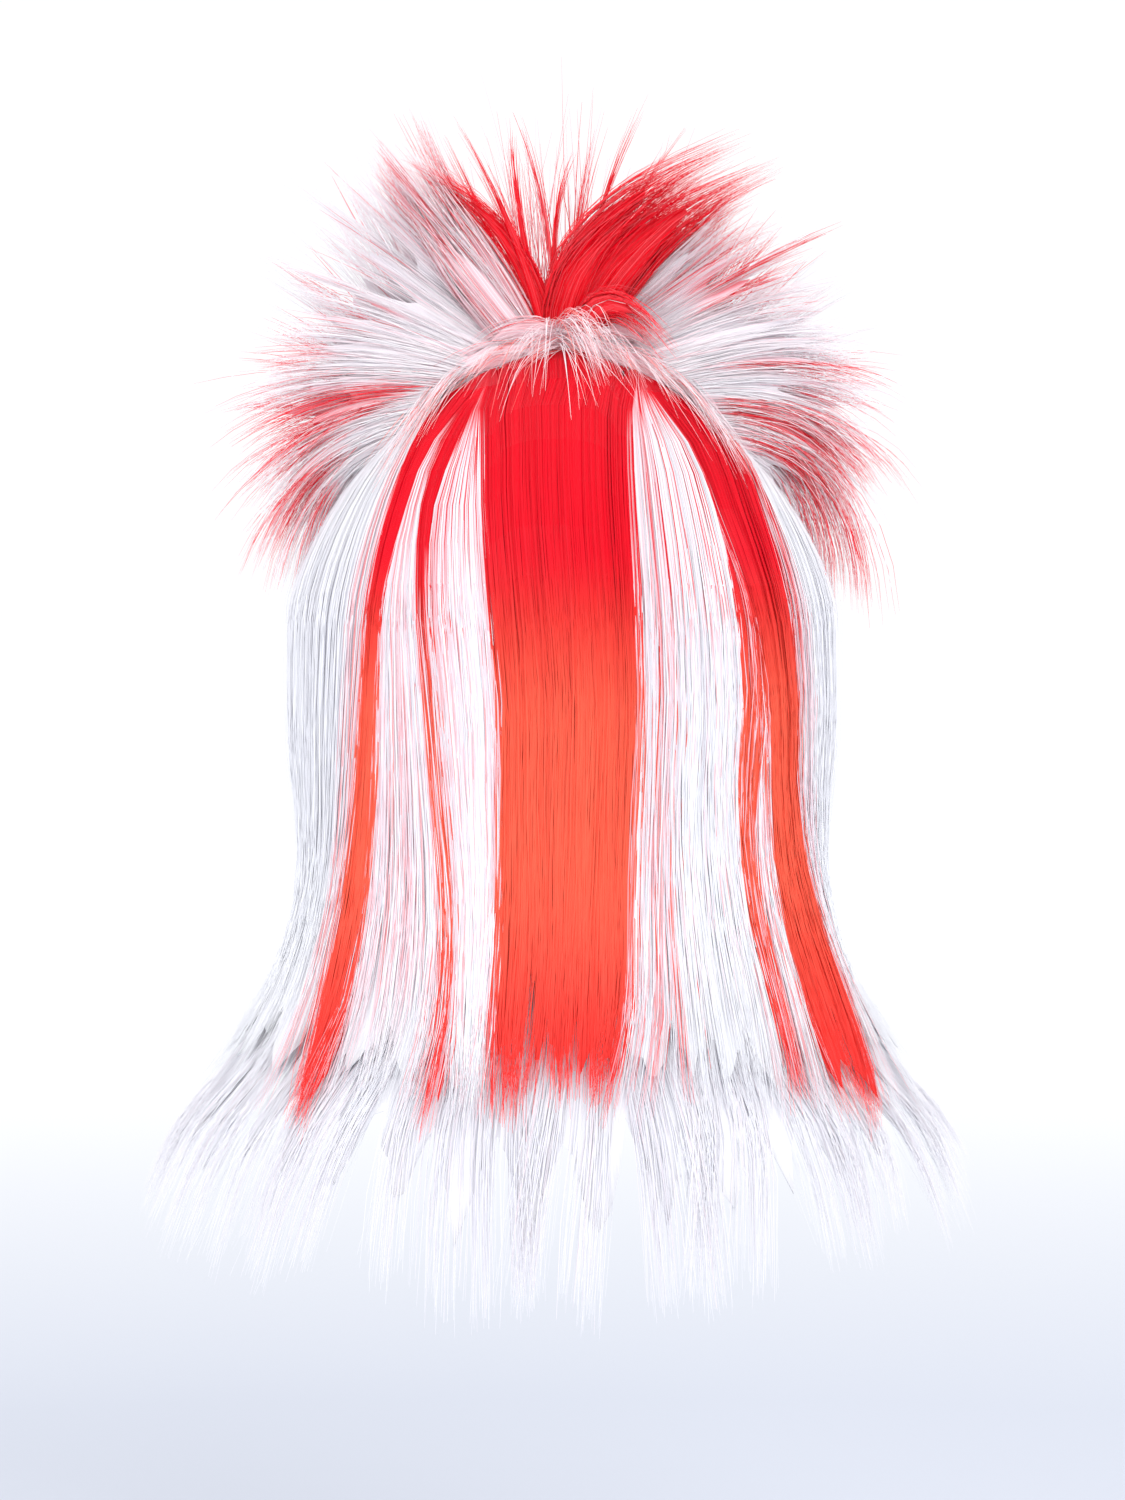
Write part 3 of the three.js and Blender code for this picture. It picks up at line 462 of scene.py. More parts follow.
def crown_point(y, beta, lift):
    """A point of the crown on the slice at y, turned beta from the top, lifted off the head."""
    inside = 1 - (y / (HEAD_HALF_DEPTH + lift)) ** 2
    ring = np.sqrt(np.clip(inside, 0, 1))
    return np.stack([
        (HEAD_HALF_WIDTH + lift) * ring * np.sin(beta),
        y + 0 * ring * beta,
        (HEAD_HALF_HEIGHT + lift) * ring * np.cos(beta) - HEAD_HALF_HEIGHT,
    ], axis=-1)


def bezier(root, bend, tip, t):
    """Points on quadratic curves: one curve a row, one point a station."""
    t = np.asarray(t)[..., None]
    root, bend, tip = root[:, None], bend[:, None], tip[:, None]
    return (1 - t) ** 2 * root + 2 * t * (1 - t) * bend + t**2 * tip


# Meshes

class HairMesh:
    """Gathers strands and closed masses of hair, then makes one mesh of them.

    Each point keeps its redness, tone and place along in the "strand" attribute, and its place
    across and along the fibres in "grain".
    """

    def __init__(self):
        self.points, self.looks, self.grains = [], [], []
        self.corners, self.sizes, self.maps, self.slots, self.smooth = [], [], [], [], []
        self.count = 0
        self.strands = []

    def add(self, points, looks, grains, faces, face_maps, slot, smooth=True):
        self.points.append(points)
        self.looks.append(looks)
        self.grains.append(grains)
        for block, block_map in zip(faces, face_maps):
            self.corners.append((block + self.count).ravel())
            self.maps.append(block_map.reshape(-1, 2))
            self.sizes.append(np.full(len(block), block.shape[1]))
            self.slots.append(np.full(len(block), slot))
            self.smooth.append(np.full(len(block), smooth))
        self.count += len(points)

    def add_strands(self, path, outward, width, red, tone, along):
        """Strands as tapering three-sided rods. path is strand by station by 3."""
        self.strands.append((path, outward, width, red, tone, along))

    def add_slab(self, outer, inner, look, grain, box, smooth=True):
        """A closed slab between two grids of points. look and grain hold the outer grid's."""
        columns, rows = outer.shape[:2]
        index = np.arange(columns * rows).reshape(columns, rows)
        under = index + columns * rows

        def patch(a):
            return np.stack([a[:-1, :-1], a[1:, :-1], a[1:, 1:], a[:-1, 1:]], axis=-1).reshape(-1, 4)

        def rim(a, b):
            return np.stack([a[:-1], b[:-1], b[1:], a[1:]], axis=-1)

        faces = np.concatenate([
            patch(index), patch(under)[:, ::-1],
            rim(index[0], under[0]), rim(index[-1], under[-1])[:, ::-1],
            rim(index[:, 0], under[:, 0])[:, ::-1], rim(index[:, -1], under[:, -1]),
        ])
        points = np.concatenate([outer.reshape(-1, 3), inner.reshape(-1, 3)])
        if signed_volume(points, faces) < 0:
            faces = faces[:, ::-1]
        i, j = np.meshgrid(np.linspace(0, 1, columns), np.linspace(0, 1, rows), indexing="ij")
        low_u, high_u, low_v, high_v = box
        flat = np.stack([lerp(low_u, high_u, i), lerp(low_v, lerp(low_v, high_v, 0.5), j)], axis=-1)
        lifted = flat + np.array([0, (high_v - low_v) * 0.5])
        uv = np.concatenate([flat.reshape(-1, 2), lifted.reshape(-1, 2)])
        looks = np.concatenate([look.reshape(-1, 3)] * 2)
        grains = np.concatenate([grain.reshape(-1, 3)] * 2)
        self.add(points, looks, grains, [faces], [uv[faces]], 1, smooth)

    def make(self, name, materials, taper=0.6, height=0.5):
        """The finished object, with its strands laid side by side in the map.

        Strands taper beyond the share taper of their length, and are height as thick as wide.
        """
        total = max(1, sum(len(s[0]) for s in self.strands))
        order = 0
        for path, outward, width, red, tone, along in self.strands:
            order = self.rods(path, outward, width, red, tone, along, order, total, taper, height)
        mesh = bpy.data.meshes.new(name)
        corners = np.concatenate(self.corners).astype(np.int32)
        sizes = np.concatenate(self.sizes)
        mesh.vertices.add(self.count)
        mesh.vertices.foreach_set("co", np.concatenate(self.points).astype(np.float32).ravel())
        mesh.loops.add(len(corners))
        mesh.loops.foreach_set("vertex_index", corners)
        mesh.polygons.add(len(sizes))
        mesh.polygons.foreach_set("loop_start", np.concatenate([[0], np.cumsum(sizes)[:-1]]).astype(np.int32))
        mesh.polygons.foreach_set("material_index", np.concatenate(self.slots).astype(np.int32))
        mesh.polygons.foreach_set("use_smooth", np.concatenate(self.smooth))
        mesh.update(calc_edges=True)
        uv = mesh.uv_layers.new(name=UV_NAME)
        uv.data.foreach_set("uv", np.concatenate(self.maps).astype(np.float32).ravel())
        strand = mesh.attributes.new("strand", "FLOAT_COLOR", "POINT")
        looks = np.concatenate(self.looks)
        strand.data.foreach_set("color", np.column_stack([looks, np.ones(len(looks))]).astype(np.float32).ravel())
        grain = mesh.attributes.new("grain", "FLOAT_VECTOR", "POINT")
        grain.data.foreach_set("vector", np.concatenate(self.grains).astype(np.float32).ravel())
        piece = bpy.data.objects.new(name, mesh)
        bpy.context.scene.collection.objects.link(piece)
        for material in materials:
            mesh.materials.append(material)
        return piece

    def rods(self, path, outward, width, red, tone, along, order, total, taper, height):
        count, stations = path.shape[:2]
        travel = unit(np.gradient(path, axis=1))
        side = unit(np.cross(travel, outward))
        lift = np.cross(side, travel)
        share = np.linspace(0, 1, stations)
        radius = width[:, None] / 2 * lerp(1, 0.2, smoothstep(taper, 1.0, share))
        turns = np.radians([90, 210, 330])
        ring = (
            path[:, :, None]
            + (height * radius[..., None] * np.sin(turns))[..., None] * lift[:, :, None]
            + (radius[..., None] * np.cos(turns))[..., None] * side[:, :, None]
        )
        tone = tone if np.ndim(tone) == 2 else tone[:, None]
        look = np.stack([red, np.broadcast_to(tone, red.shape), along], axis=-1)
        looks = np.repeat(look[:, :, None], 3, axis=2).reshape(-1, 3)
        number = (order + np.arange(count))[:, None]
        grain = np.stack([np.broadcast_to(number * 0.37, red.shape), along, 0 * red], axis=-1)
        grains = np.repeat(grain[:, :, None], 3, axis=2).reshape(-1, 3)
        i, j, k = np.meshgrid(np.arange(count), np.arange(stations - 1), np.arange(3), indexing="ij")
        first = (i * stations + j) * 3
        after = (k + 1) % 3
        quads = np.stack([first + k, first + 3 + k, first + 3 + after, first + after], axis=-1).reshape(-1, 4)
        slot_width = STRAND_MAP_SHARE / total
        left = (order + i) * slot_width + k * slot_width / 3
        right = left + slot_width / 3
        low, high = share[j], share[j + 1]
        quad_map = np.stack([
            np.stack([left, low], -1), np.stack([left, high], -1),
            np.stack([right, high], -1), np.stack([right, low], -1),
        ], axis=-2).reshape(-1, 4, 2)
        starts = np.arange(count)[:, None] * stations * 3
        root_caps = starts + np.array([0, 1, 2])
        tip_caps = starts + (stations - 1) * 3 + np.array([2, 1, 0])
        points = ring.reshape(-1, 3)
        if signed_volume(points, quads[:3 * (stations - 1)]) < 0:
            quads, quad_map = quads[:, ::-1], quad_map[:, ::-1]
            root_caps, tip_caps = root_caps[:, ::-1], tip_caps[:, ::-1]
        middle = ((order + np.arange(count)) * slot_width + slot_width / 2)[:, None, None]
        corner = np.array([[-0.3, 0.0], [0.3, 0.0], [0.0, 0.002]]) * np.array([slot_width, 1.0])
        cap_map = np.concatenate([np.broadcast_to(middle, (count, 3, 1)), np.zeros((count, 3, 1))], -1) + corner
        tip_map = cap_map + np.array([0, 0.998])
        self.add(points, looks, grains, [quads, root_caps, tip_caps], [quad_map, cap_map, tip_map], 0, smooth=False)
        return order + count


def signed_volume(points, quads):
    """Above zero where the quads face outward. Measured from their middle, so caps can be missing."""
    a, b, c, d = (points[quads[:, i]] - points[quads].mean(axis=(0, 1)) for i in range(4))
    return np.einsum("ij,ij->i", a, np.cross(b, c) + np.cross(c, d)).sum()


def settle(piece, *nodes, slot):
    """The piece takes the place of its CAD nodes. Its slot is not used."""
    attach(piece, "root")
    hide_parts(*nodes)


# Finishes

class Nodes:
    """A small helper that adds and joins shader nodes."""

    def __init__(self, name):
        self.material = bpy.data.materials.new(name)
        self.material.use_nodes = True
        self.tree = self.material.node_tree
        self.shader = self.tree.nodes["Principled BSDF"]

    def add(self, kind, **values):
        node = self.tree.nodes.new(kind)
        for key, value in values.items():
            setattr(node, key, value)
        return node

    def join(self, output, socket):
        self.tree.links.new(output, socket)

    def ramp(self, factor, stops, interpolation="LINEAR"):
        node = self.add("ShaderNodeValToRGB")
        node.color_ramp.interpolation = interpolation
        while len(node.color_ramp.elements) < len(stops):
            node.color_ramp.elements.new(0.5)
        for element, (place, colour) in zip(node.color_ramp.elements, stops):
            element.position = place
            element.color = (*colour, 1)
        self.join(factor, node.inputs["Fac"])
        return node.outputs["Color"]

    def mix(self, factor, a, b, blend="MIX"):
        node = self.add("ShaderNodeMix", data_type="RGBA", blend_type=blend)
        if hasattr(factor, "is_output"):
            self.join(factor, node.inputs[0])
        else:
            node.inputs[0].default_value = factor
        self.join(a, node.inputs[6])
        self.join(b, node.inputs[7])
        return node.outputs[2]

    def noise(self, vector, scale, detail=2.0, stretch=(1, 1, 1)):
        mapping = self.add("ShaderNodeMapping")
        mapping.inputs["Scale"].default_value = stretch
        self.join(vector, mapping.inputs["Vector"])
        node = self.add("ShaderNodeTexNoise")
        node.inputs["Scale"].default_value = scale
        node.inputs["Detail"].default_value = detail
        self.join(mapping.outputs["Vector"], node.inputs["Vector"])
        return node.outputs["Fac"]

    def bump(self, height, strength, distance):
        node = self.add("ShaderNodeBump")
        node.inputs["Strength"].default_value = strength
        node.inputs["Distance"].default_value = distance
        self.join(height, node.inputs["Height"])
        self.join(node.outputs["Normal"], self.shader.inputs["Normal"])

    def finish(self, colour, roughness, specular):
        self.join(colour, self.shader.inputs["Base Color"])
        self.shader.inputs["Roughness"].default_value = roughness
        self.shader.inputs["Specular IOR Level"].default_value = specular
        return self.material


def fibre_material(name, colours, massed):
    """Acrylic fibre. A massed one is the body of hair under the strands, with its fibres as grain."""
    nodes = Nodes(name)
    strand = nodes.add("ShaderNodeAttribute", attribute_name="strand")
    split = nodes.add("ShaderNodeSeparateColor")
    nodes.join(strand.outputs["Color"], split.inputs["Color"])
    red, tone, along = (split.outputs[c] for c in ("Red", "Green", "Blue"))
    grain = nodes.add("ShaderNodeAttribute", attribute_name="grain").outputs["Vector"]
    streak = nodes.noise(grain, 1.0, 3.0, (9.0, 1.4, 1.0) if massed else (1.0, 6.0, 1.0))

    # Tone mixes the shade white with the lit white: at random between strands, and as painted shade where the masses
    # get a low tone.
    white = nodes.ramp(tone, [(0.0, colours.shade), (1.0, colours.white)])
    grey = nodes.ramp(streak, [(0.30, (0.91, 0.93, 0.97)), (0.60, (1.0, 1.0, 1.0))])
    white = nodes.mix(0.6, white, grey, "MULTIPLY")
    # Painted light along each red strand: painted shade in deep red at the roots, a painted highlight in orange red
    # halfway down, then tip red at the tips.
    length = nodes.ramp(along, [
        (0.0, colours.deep_red), (0.26, colours.deep_red), (0.51, colours.painted_highlight_red),
        (0.64, colours.painted_highlight_red), (0.97, colours.tip_red),
    ], "EASE")
    # The same tone darkens or brightens the reds: at random between strands, and as painted shade on the low-toned
    # masses.
    dark = nodes.ramp(tone, [
        (0.0, (0.84, 0.75, 0.80)), (0.4, (0.95, 0.97, 0.97)), (0.65, (0.98, 1.03, 1.02)), (1.0, (1.18, 1.12, 1.1)),
    ])
    ember = nodes.ramp(streak, [(0.32, (0.97, 0.86, 0.88)), (0.62, (1.0, 1.0, 1.0))])
    reds = nodes.mix(1.0, nodes.mix(1.0, length, dark, "MULTIPLY"), ember, "MULTIPLY")
    pink = nodes.mix(1.0, nodes.ramp(tone, [(0.0, colours.pink), (1.0, colours.pink)]), grey, "MULTIPLY")
    faint = nodes.ramp(red, [(0.0, (0, 0, 0)), (0.45, (1, 1, 1))])
    strong = nodes.ramp(red, [(0.4, (0, 0, 0)), (0.95, (1, 1, 1))])
    colour = nodes.mix(strong, nodes.mix(faint, white, pink), reds)
    if massed:
        nodes.bump(streak, 0.35, 0.0005)
    return nodes.finish(colour, 0.46 if massed else 0.42, 0.16)


def object_vector(nodes):
    return nodes.add("ShaderNodeTexCoord").outputs["Object"]


def net_material(colours):
    """Fine net of the cap: a mesh of small openings over a plain knit, the openings painted darker than the threads as
    painted shade.
    """
    nodes = Nodes("cap_net")
    place = object_vector(nodes)
    cells = nodes.add("ShaderNodeTexVoronoi", feature="DISTANCE_TO_EDGE")
    cells.inputs["Scale"].default_value = 520
    nodes.join(place, cells.inputs["Vector"])
    edge = cells.outputs["Distance"]
    # Painted shade in the openings: away from the threads the net is painted darker.
    net = nodes.ramp(edge, [(0.05, tuple(colours.net)), (0.22, tuple(0.62 * c for c in colours.net))])
    wear = nodes.ramp(nodes.noise(place, 30, 3), [(0.3, (0.88, 0.87, 0.86)), (0.7, (1.0, 1.0, 1.0))])
    thread = nodes.ramp(edge, [(0.0, (1, 1, 1)), (0.2, (0, 0, 0))])
    nodes.bump(thread, 0.6, 0.0004)
    return nodes.finish(nodes.mix(1.0, net, wear, "MULTIPLY"), 0.85, 0.2)


def elastic_material(colours):
    """Ribbed elastic: fine cross ribs, their hollows painted darker as painted shade, and a slightly glossy thread."""
    nodes = Nodes("elastic_band")
    grain = nodes.add("ShaderNodeAttribute", attribute_name="grain").outputs["Vector"]
    ribs = nodes.add("ShaderNodeTexWave", bands_direction="X", wave_profile="SIN")
    ribs.inputs["Scale"].default_value = 60
    ribs.inputs["Distortion"].default_value = 0.4
    nodes.join(grain, ribs.inputs["Vector"])
    # Painted shade: the hollows between the ribs are painted darker.
    rib_painted_shade = nodes.ramp(ribs.outputs["Fac"], [
        (0.1, tuple(0.78 * c for c in colours.elastic)), (0.7, tuple(colours.elastic)),
    ])
    wear = nodes.ramp(nodes.noise(object_vector(nodes), 60, 3), [(0.3, (0.9, 0.9, 0.9)), (0.7, (1, 1, 1))])
    nodes.bump(ribs.outputs["Fac"], 0.5, 0.0004)
    return nodes.finish(nodes.mix(1.0, rib_painted_shade, wear, "MULTIPLY"), 0.7, 0.3)


def hair_materials(context):
    """The strands' and the masses' materials, made once."""
    made = [bpy.data.materials.get(n) for n in ("hair_strands", "hair_mass")]
    if None in made:
        colours = context.scene.wig_colours
        made = [fibre_material("hair_strands", colours, False), fibre_material("hair_mass", colours, True)]
    return made


# Strand makers

def vein_redness(rng, name, base, across, drop):
    """Redness of each point: the piece's own, changed along its veins."""
    red = np.broadcast_to(np.full(len(across), float(base))[:, None], drop.shape).copy()
    top = RED_TOPS.get(name, 0.0)
    if top:
        edge = top * rng.uniform(0.75, 1.3, len(across))[:, None]
        red = np.maximum(red, 1 - smoothstep(edge - 0.03, edge + 0.01, drop))
    for centre, half, share, redness, start, end in VEINS.get(name, ()):
        near = np.abs(across - centre) < half * rng.uniform(0.3, 1.0, len(across))
        chosen = near & (rng.random(len(across)) < share)
        value = np.clip(redness + rng.normal(0, 0.15, len(across)), 0, 1)[:, None]
        fade = smoothstep(start - 0.03, start + 0.03, drop) * (1 - smoothstep(end - 0.16, end, drop))
        mixed = lerp(red, value, fade)
        red = np.where(chosen[:, None], mixed, red)
    return red


def long_tone(tone, drop):
    """Tone down the long hair: open hair near the top needs a duller white than the shaded tips."""
    return np.clip(tone + 0.45 * smoothstep(0.35, 1.0, drop), 0, 1)


def grouped_tone(rng, across, groups):
    """Tone of each strand: neighbours are alike, as in brushed hair."""
    knots = rng.random(groups + 1)
    smooth = np.interp(np.clip(across, 0, 1) * groups, np.arange(groups + 1), knots)
    return np.clip(0.55 * smooth + 0.45 * rng.random(len(across)), 0, 1)


def notched(name, across):
    """How much shorter the cut ends are at each place across a piece."""
    cuts = [height * (1 - smoothstep(0.4 * half, half, np.abs(across - centre)))
            for centre, half, height in NOTCHES.get(name, ())]
    return np.max(cuts, axis=0) if cuts else 0 * across


def long_strands(rng, fibres, count, angle_at, depth_of, end_of, locks, start_drop=0.0, spill=0.0,
                 stations=(UP_STATIONS, FALL_STATIONS), branch=False):
    """Paths of strands that hang from the parting. Returns path, outward, drop and across."""
    across = np.sort(rng.uniform(-spill, 1 + spill, count))
    lock = np.clip(np.floor(across * locks), 0, locks - 1)
    centre = (lock + 0.5 + 0.3 * uneven(lock * 3)) / locks
    within = np.abs(across - centre) * locks * 2
    end_drop = end_of(across) + 0.018 * uneven(lock) - 0.028 * np.minimum(within, 1.5) ** 1.5
    end_drop = end_drop + rng.normal(0, fibres.fray * 0.25, count) - rng.exponential(fibres.fray * 0.35, count)
    end = drop_z(end_drop)
    if start_drop > 0:
        top = np.full(count, drop_z(start_drop)) + rng.uniform(-0.01, 0.01, count)
    else:
        top = top_of_run(lambda z: angle_at(across, z), count)
    z = run_heights(top, end, *stations)
    low_down = smoothstep(0.28, 0.42, (PARTING_RISE - z[:, 1:-1]) / TOP_LENGTH)
    z[:, 1:-1] += rng.uniform(-0.45, 0.45, count)[:, None] * low_down * (z[:, 2:] - z[:, :-2]) / 2
    share = np.linspace(0, 1, z.shape[1])
    drop = (PARTING_RISE - z) / TOP_LENGTH
    pull = fibres.clump * rng.uniform(0.1, 1.15, count)[:, None] * smoothstep(0.45, 1.05, drop) ** 1.5
    shifted = across[:, None] + (centre - across)[:, None] * pull
    angle = np.stack([angle_at(shifted[:, i], z[:, i]) for i in range(z.shape[1])], axis=1)
    swing = fibres.wave * smoothstep(0.1, 1.1, drop) ** 1.5 * rng.normal(0, 0.8, count)[:, None]
    ripple = 0.35 * fibres.wave * smoothstep(0.05, 0.5, drop) * np.sin(
        drop * rng.uniform(7, 15, count)[:, None] + rng.uniform(0, 6.3, count)[:, None])
    sweep = smoothstep(0.8, 1.3, drop) * (TIP_SWEEP + 0.011 * uneven(np.floor(lock / 2) * 5))[:, None]
    angle = angle + (swing + ripple + sweep) / fall_size(z)[1]
    depth = depth_of(z) + rng.beta(1.1, 1.6, count)[:, None] * 0.0008
    if branch:
        depth = depth + 0.0006 * (1 - smoothstep(start_drop, start_drop + 0.12, drop))
    loose = (rng.random(count) < 0.05)[:, None]
    depth = depth - loose * rng.uniform(0.0005, 0.003, count)[:, None] * np.sin(np.pi * share) ** 2
    frayed = smoothstep(0.85, 1.2, drop) * np.abs(rng.normal(0, 0.0018, count))[:, None]
    path, outward = hair_point(angle, z, depth + frayed)
    return path, outward, drop, across


def long_mass(mesh, red, angle_at, depth_of, thick_of, end_of, locks, start_drop=0.0, short=0.02, zigzag=0.045,
              red_top=0.0, tone=0.3):
    """The closed mass of hair under the strands, shorter than they are."""
    columns, samples = max(9, locks * 6 + 1), 22
    across = np.linspace(0.0, 1.0, columns)
    lock = np.clip(np.floor(across * locks), 0, locks - 1)
    within = np.abs(across - (lock + 0.5) / locks) * locks * 2
    end = drop_z(end_of(across) - short - zigzag * within - 0.02 * (1 + uneven(np.arange(columns))))
    if start_drop > 0:
        top = np.full(columns, drop_z(start_drop))
    else:
        top = top_of_run(lambda z: angle_at(across, z), columns)
    z = run_heights(top, end, 11, samples - 12)
    drop = (PARTING_RISE - z) / TOP_LENGTH
    spread = np.broadcast_to(across[:, None], z.shape)
    angle = np.stack([angle_at(spread[:, i], z[:, i]) for i in range(z.shape[1])], axis=1)
    sink = 0.0004 * within[:, None] + 0.0001 * (1 + uneven(np.arange(columns)))[:, None]
    if start_drop > 0:
        sink = sink + 0.0006 * (1 - smoothstep(start_drop, start_drop + 0.12, drop))
    near_end = smoothstep(0.7, 1.0, np.linspace(0, 1, z.shape[1]))
    outer_depth = 0.0009 + sink + 0.0006 * near_end
    outer, _ = hair_point(angle, z, depth_of(z) + outer_depth)
    inner, _ = hair_point(angle, z, depth_of(z) + lerp(thick_of(z) - 0.0002, outer_depth + 0.0005, near_end))
    redness = np.maximum(red, 1 - smoothstep(red_top * 0.6, red_top, drop)) if red_top else np.full(z.shape, float(red))
    # Painted shade: the mass's low tone makes it a darker white than the strands on it, to match the shade among the
    # strands.
    look = np.stack([redness, long_tone(tone, drop), drop], axis=-1)
    grain = np.stack([angle * 18, drop, 0 * z], axis=-1)
    mesh.add_slab(outer, inner, look, grain, (STRAND_MAP_SHARE + 0.01, 0.99, 0.01, 0.99))


def curve_frame(root, bend, tip, t, face):
    """Points of a curve, and the directions across it: sideways and towards the face axis."""
    t = np.asarray(t)[..., None]
    point = (1 - t) ** 2 * root + 2 * t * (1 - t) * bend + t**2 * tip
    travel = unit((1 - t) * (bend - root) + t * (tip - bend))
    side = unit(np.cross(travel, face))
    return point, side, np.cross(side, travel)


def hair_lock(rng, mesh, curve, widths, count, red, box, flat=0.45, face=(0.0, 1.0, 0.0), fray=0.003,
              stretch=(0.8, 1.08), tone=(0.6, 1.0), along=(0.25, 0.3), width=0.0004, core_red=None, core_end=0.82):
    """A flattened tapering lock: a closed core with strands lying on it and running past its end."""
    root, bend, tip = (np.asarray(p, float) for p in curve)
    places = [0, 0.45, 1]
    if core_end > 0:
        sides, stations = 10, 8
        t = np.linspace(0, 1, stations)
        point, side, other = curve_frame(root, bend, tip, t * core_end, face)
        size = 0.95 * np.interp(t * core_end, places, widths) * np.sqrt(np.clip(1.02 - t**3, 0, 1))
        turns = np.linspace(0, 2 * np.pi, sides, endpoint=False)
        ring = (
            point[:, None] + (size[:, None] * np.cos(turns))[..., None] * side[:, None]
            + (flat * size[:, None] * np.sin(turns))[..., None] * other[:, None]
        )
        redness = float(np.mean(red)) if core_red is None else core_red
        add_tube(mesh, ring, redness, 0.5 * (tone[0] + tone[1]), lerp(*along, t), box)
    t = np.linspace(0, 1, CROWN_STATIONS + 1)
    at = t * rng.uniform(*stretch, count)[:, None]
    turns = rng.uniform(0, 2 * np.pi, count)[:, None]
    size = np.interp(at, places, widths) * rng.uniform(0.97, 1.2, count)[:, None]
    point, side, other = curve_frame(root, bend, tip, at, face)
    path = point + (size * np.cos(turns))[..., None] * side + (flat * size * np.sin(turns))[..., None] * other
    path = path + rng.normal(0, fray, (count, 1, 3)) * (t**2)[:, None]
    outward = unit(path - np.array([0, 0, -HEAD_HALF_HEIGHT]))
    reds = np.broadcast_to(red if np.ndim(red) == 2 else np.asarray(red)[:, None], at.shape)
    mesh.add_strands(path, outward, width * rng.uniform(0.75, 1.2, count), reds,
                     rng.uniform(*tone, count), np.broadcast_to(lerp(*along, t), at.shape))


def add_tube(mesh, ring, red, tone, along, box):
    """A closed tube of hair through rings of points."""
    stations, sides = ring.shape[:2]
    points = ring.reshape(-1, 3)
    j, k = np.meshgrid(np.arange(stations - 1), np.arange(sides), indexing="ij")
    after = (k + 1) % sides
    quads = np.stack([j * sides + k, (j + 1) * sides + k, (j + 1) * sides + after, j * sides + after], -1)
    quads = quads.reshape(-1, 4)
    low_u, high_u, low_v, high_v = box
    u = np.stack([k, k, k + 1, k + 1], -1).reshape(-1, 4) / sides
    v = np.stack([j, j + 1, j + 1, j], -1).reshape(-1, 4) / (stations - 1)
    maps = np.stack([lerp(low_u, high_u, u), lerp(low_v, high_v, v)], axis=-1)
    caps = np.stack([np.arange(sides), (stations - 1) * sides + np.arange(sides)[::-1]])
    if signed_volume(points, quads) < 0:
        quads, maps, caps = quads[:, ::-1], maps[:, ::-1], caps[:, ::-1]
    turns = np.linspace(0, 2 * np.pi, sides, endpoint=False)
    cap_maps = np.broadcast_to(np.array([low_u, low_v]), (2, sides, 2)) + 0.0005 * np.stack(
        [np.cos(turns), np.sin(turns)], -1)
    shape = (stations, sides)
    look = np.stack([np.full(shape, red), np.full(shape, tone), np.broadcast_to(along[:, None], shape)], axis=-1)
    grain = np.stack([
        np.broadcast_to(turns / 2, shape), np.broadcast_to(np.linspace(0, 1, stations)[:, None], shape),
        np.zeros(shape),
    ], axis=-1)
    mesh.add(points, look.reshape(-1, 3), grain.reshape(-1, 3), [quads, caps], [maps, cap_maps], 1)


def map_box(number, total):
    """A share of the map's right part for one of several masses."""
    low, high = STRAND_MAP_SHARE + 0.01, 0.99
    step = (high - low) / total
    return (low + number * step, low + (number + 0.9) * step, 0.01, 0.99)


def pad_mass(mesh, front, back, turn_from, turn_to, red, box):
    """The rooted hair over a stretch of the crown."""
    y = np.linspace(front, back, 9) * HEAD_HALF_DEPTH
    beta = np.radians(np.linspace(turn_from, turn_to, 17))
    grid_y, grid_beta = np.meshgrid(y, beta, indexing="ij")
    outer = crown_point(grid_y, grid_beta, PAD_RISE - 0.001)
    inner = crown_point(grid_y, grid_beta, BAND_WALL + PIECE_GAP)
    # Painted shade: the pad gets a low tone, a darker white than the strands over it.
    look = np.stack([np.full(grid_y.shape, float(red)), np.full(grid_y.shape, 0.3), 0 * grid_y + 0.1], axis=-1)
    grain = np.stack([grid_y * 160, grid_beta * 2, 0 * grid_y], axis=-1)
    mesh.add_slab(outer, inner, look, grain, box)


def mixed_red(rng, count, share, haze=0.08, weakest=0.75):
    """Redness of strands of which a share are red, the rest white or pinkish."""
    red = rng.random(count) < share
    return np.where(red, rng.uniform(weakest, 1.0, count), np.minimum(rng.exponential(haze, count), 0.45))


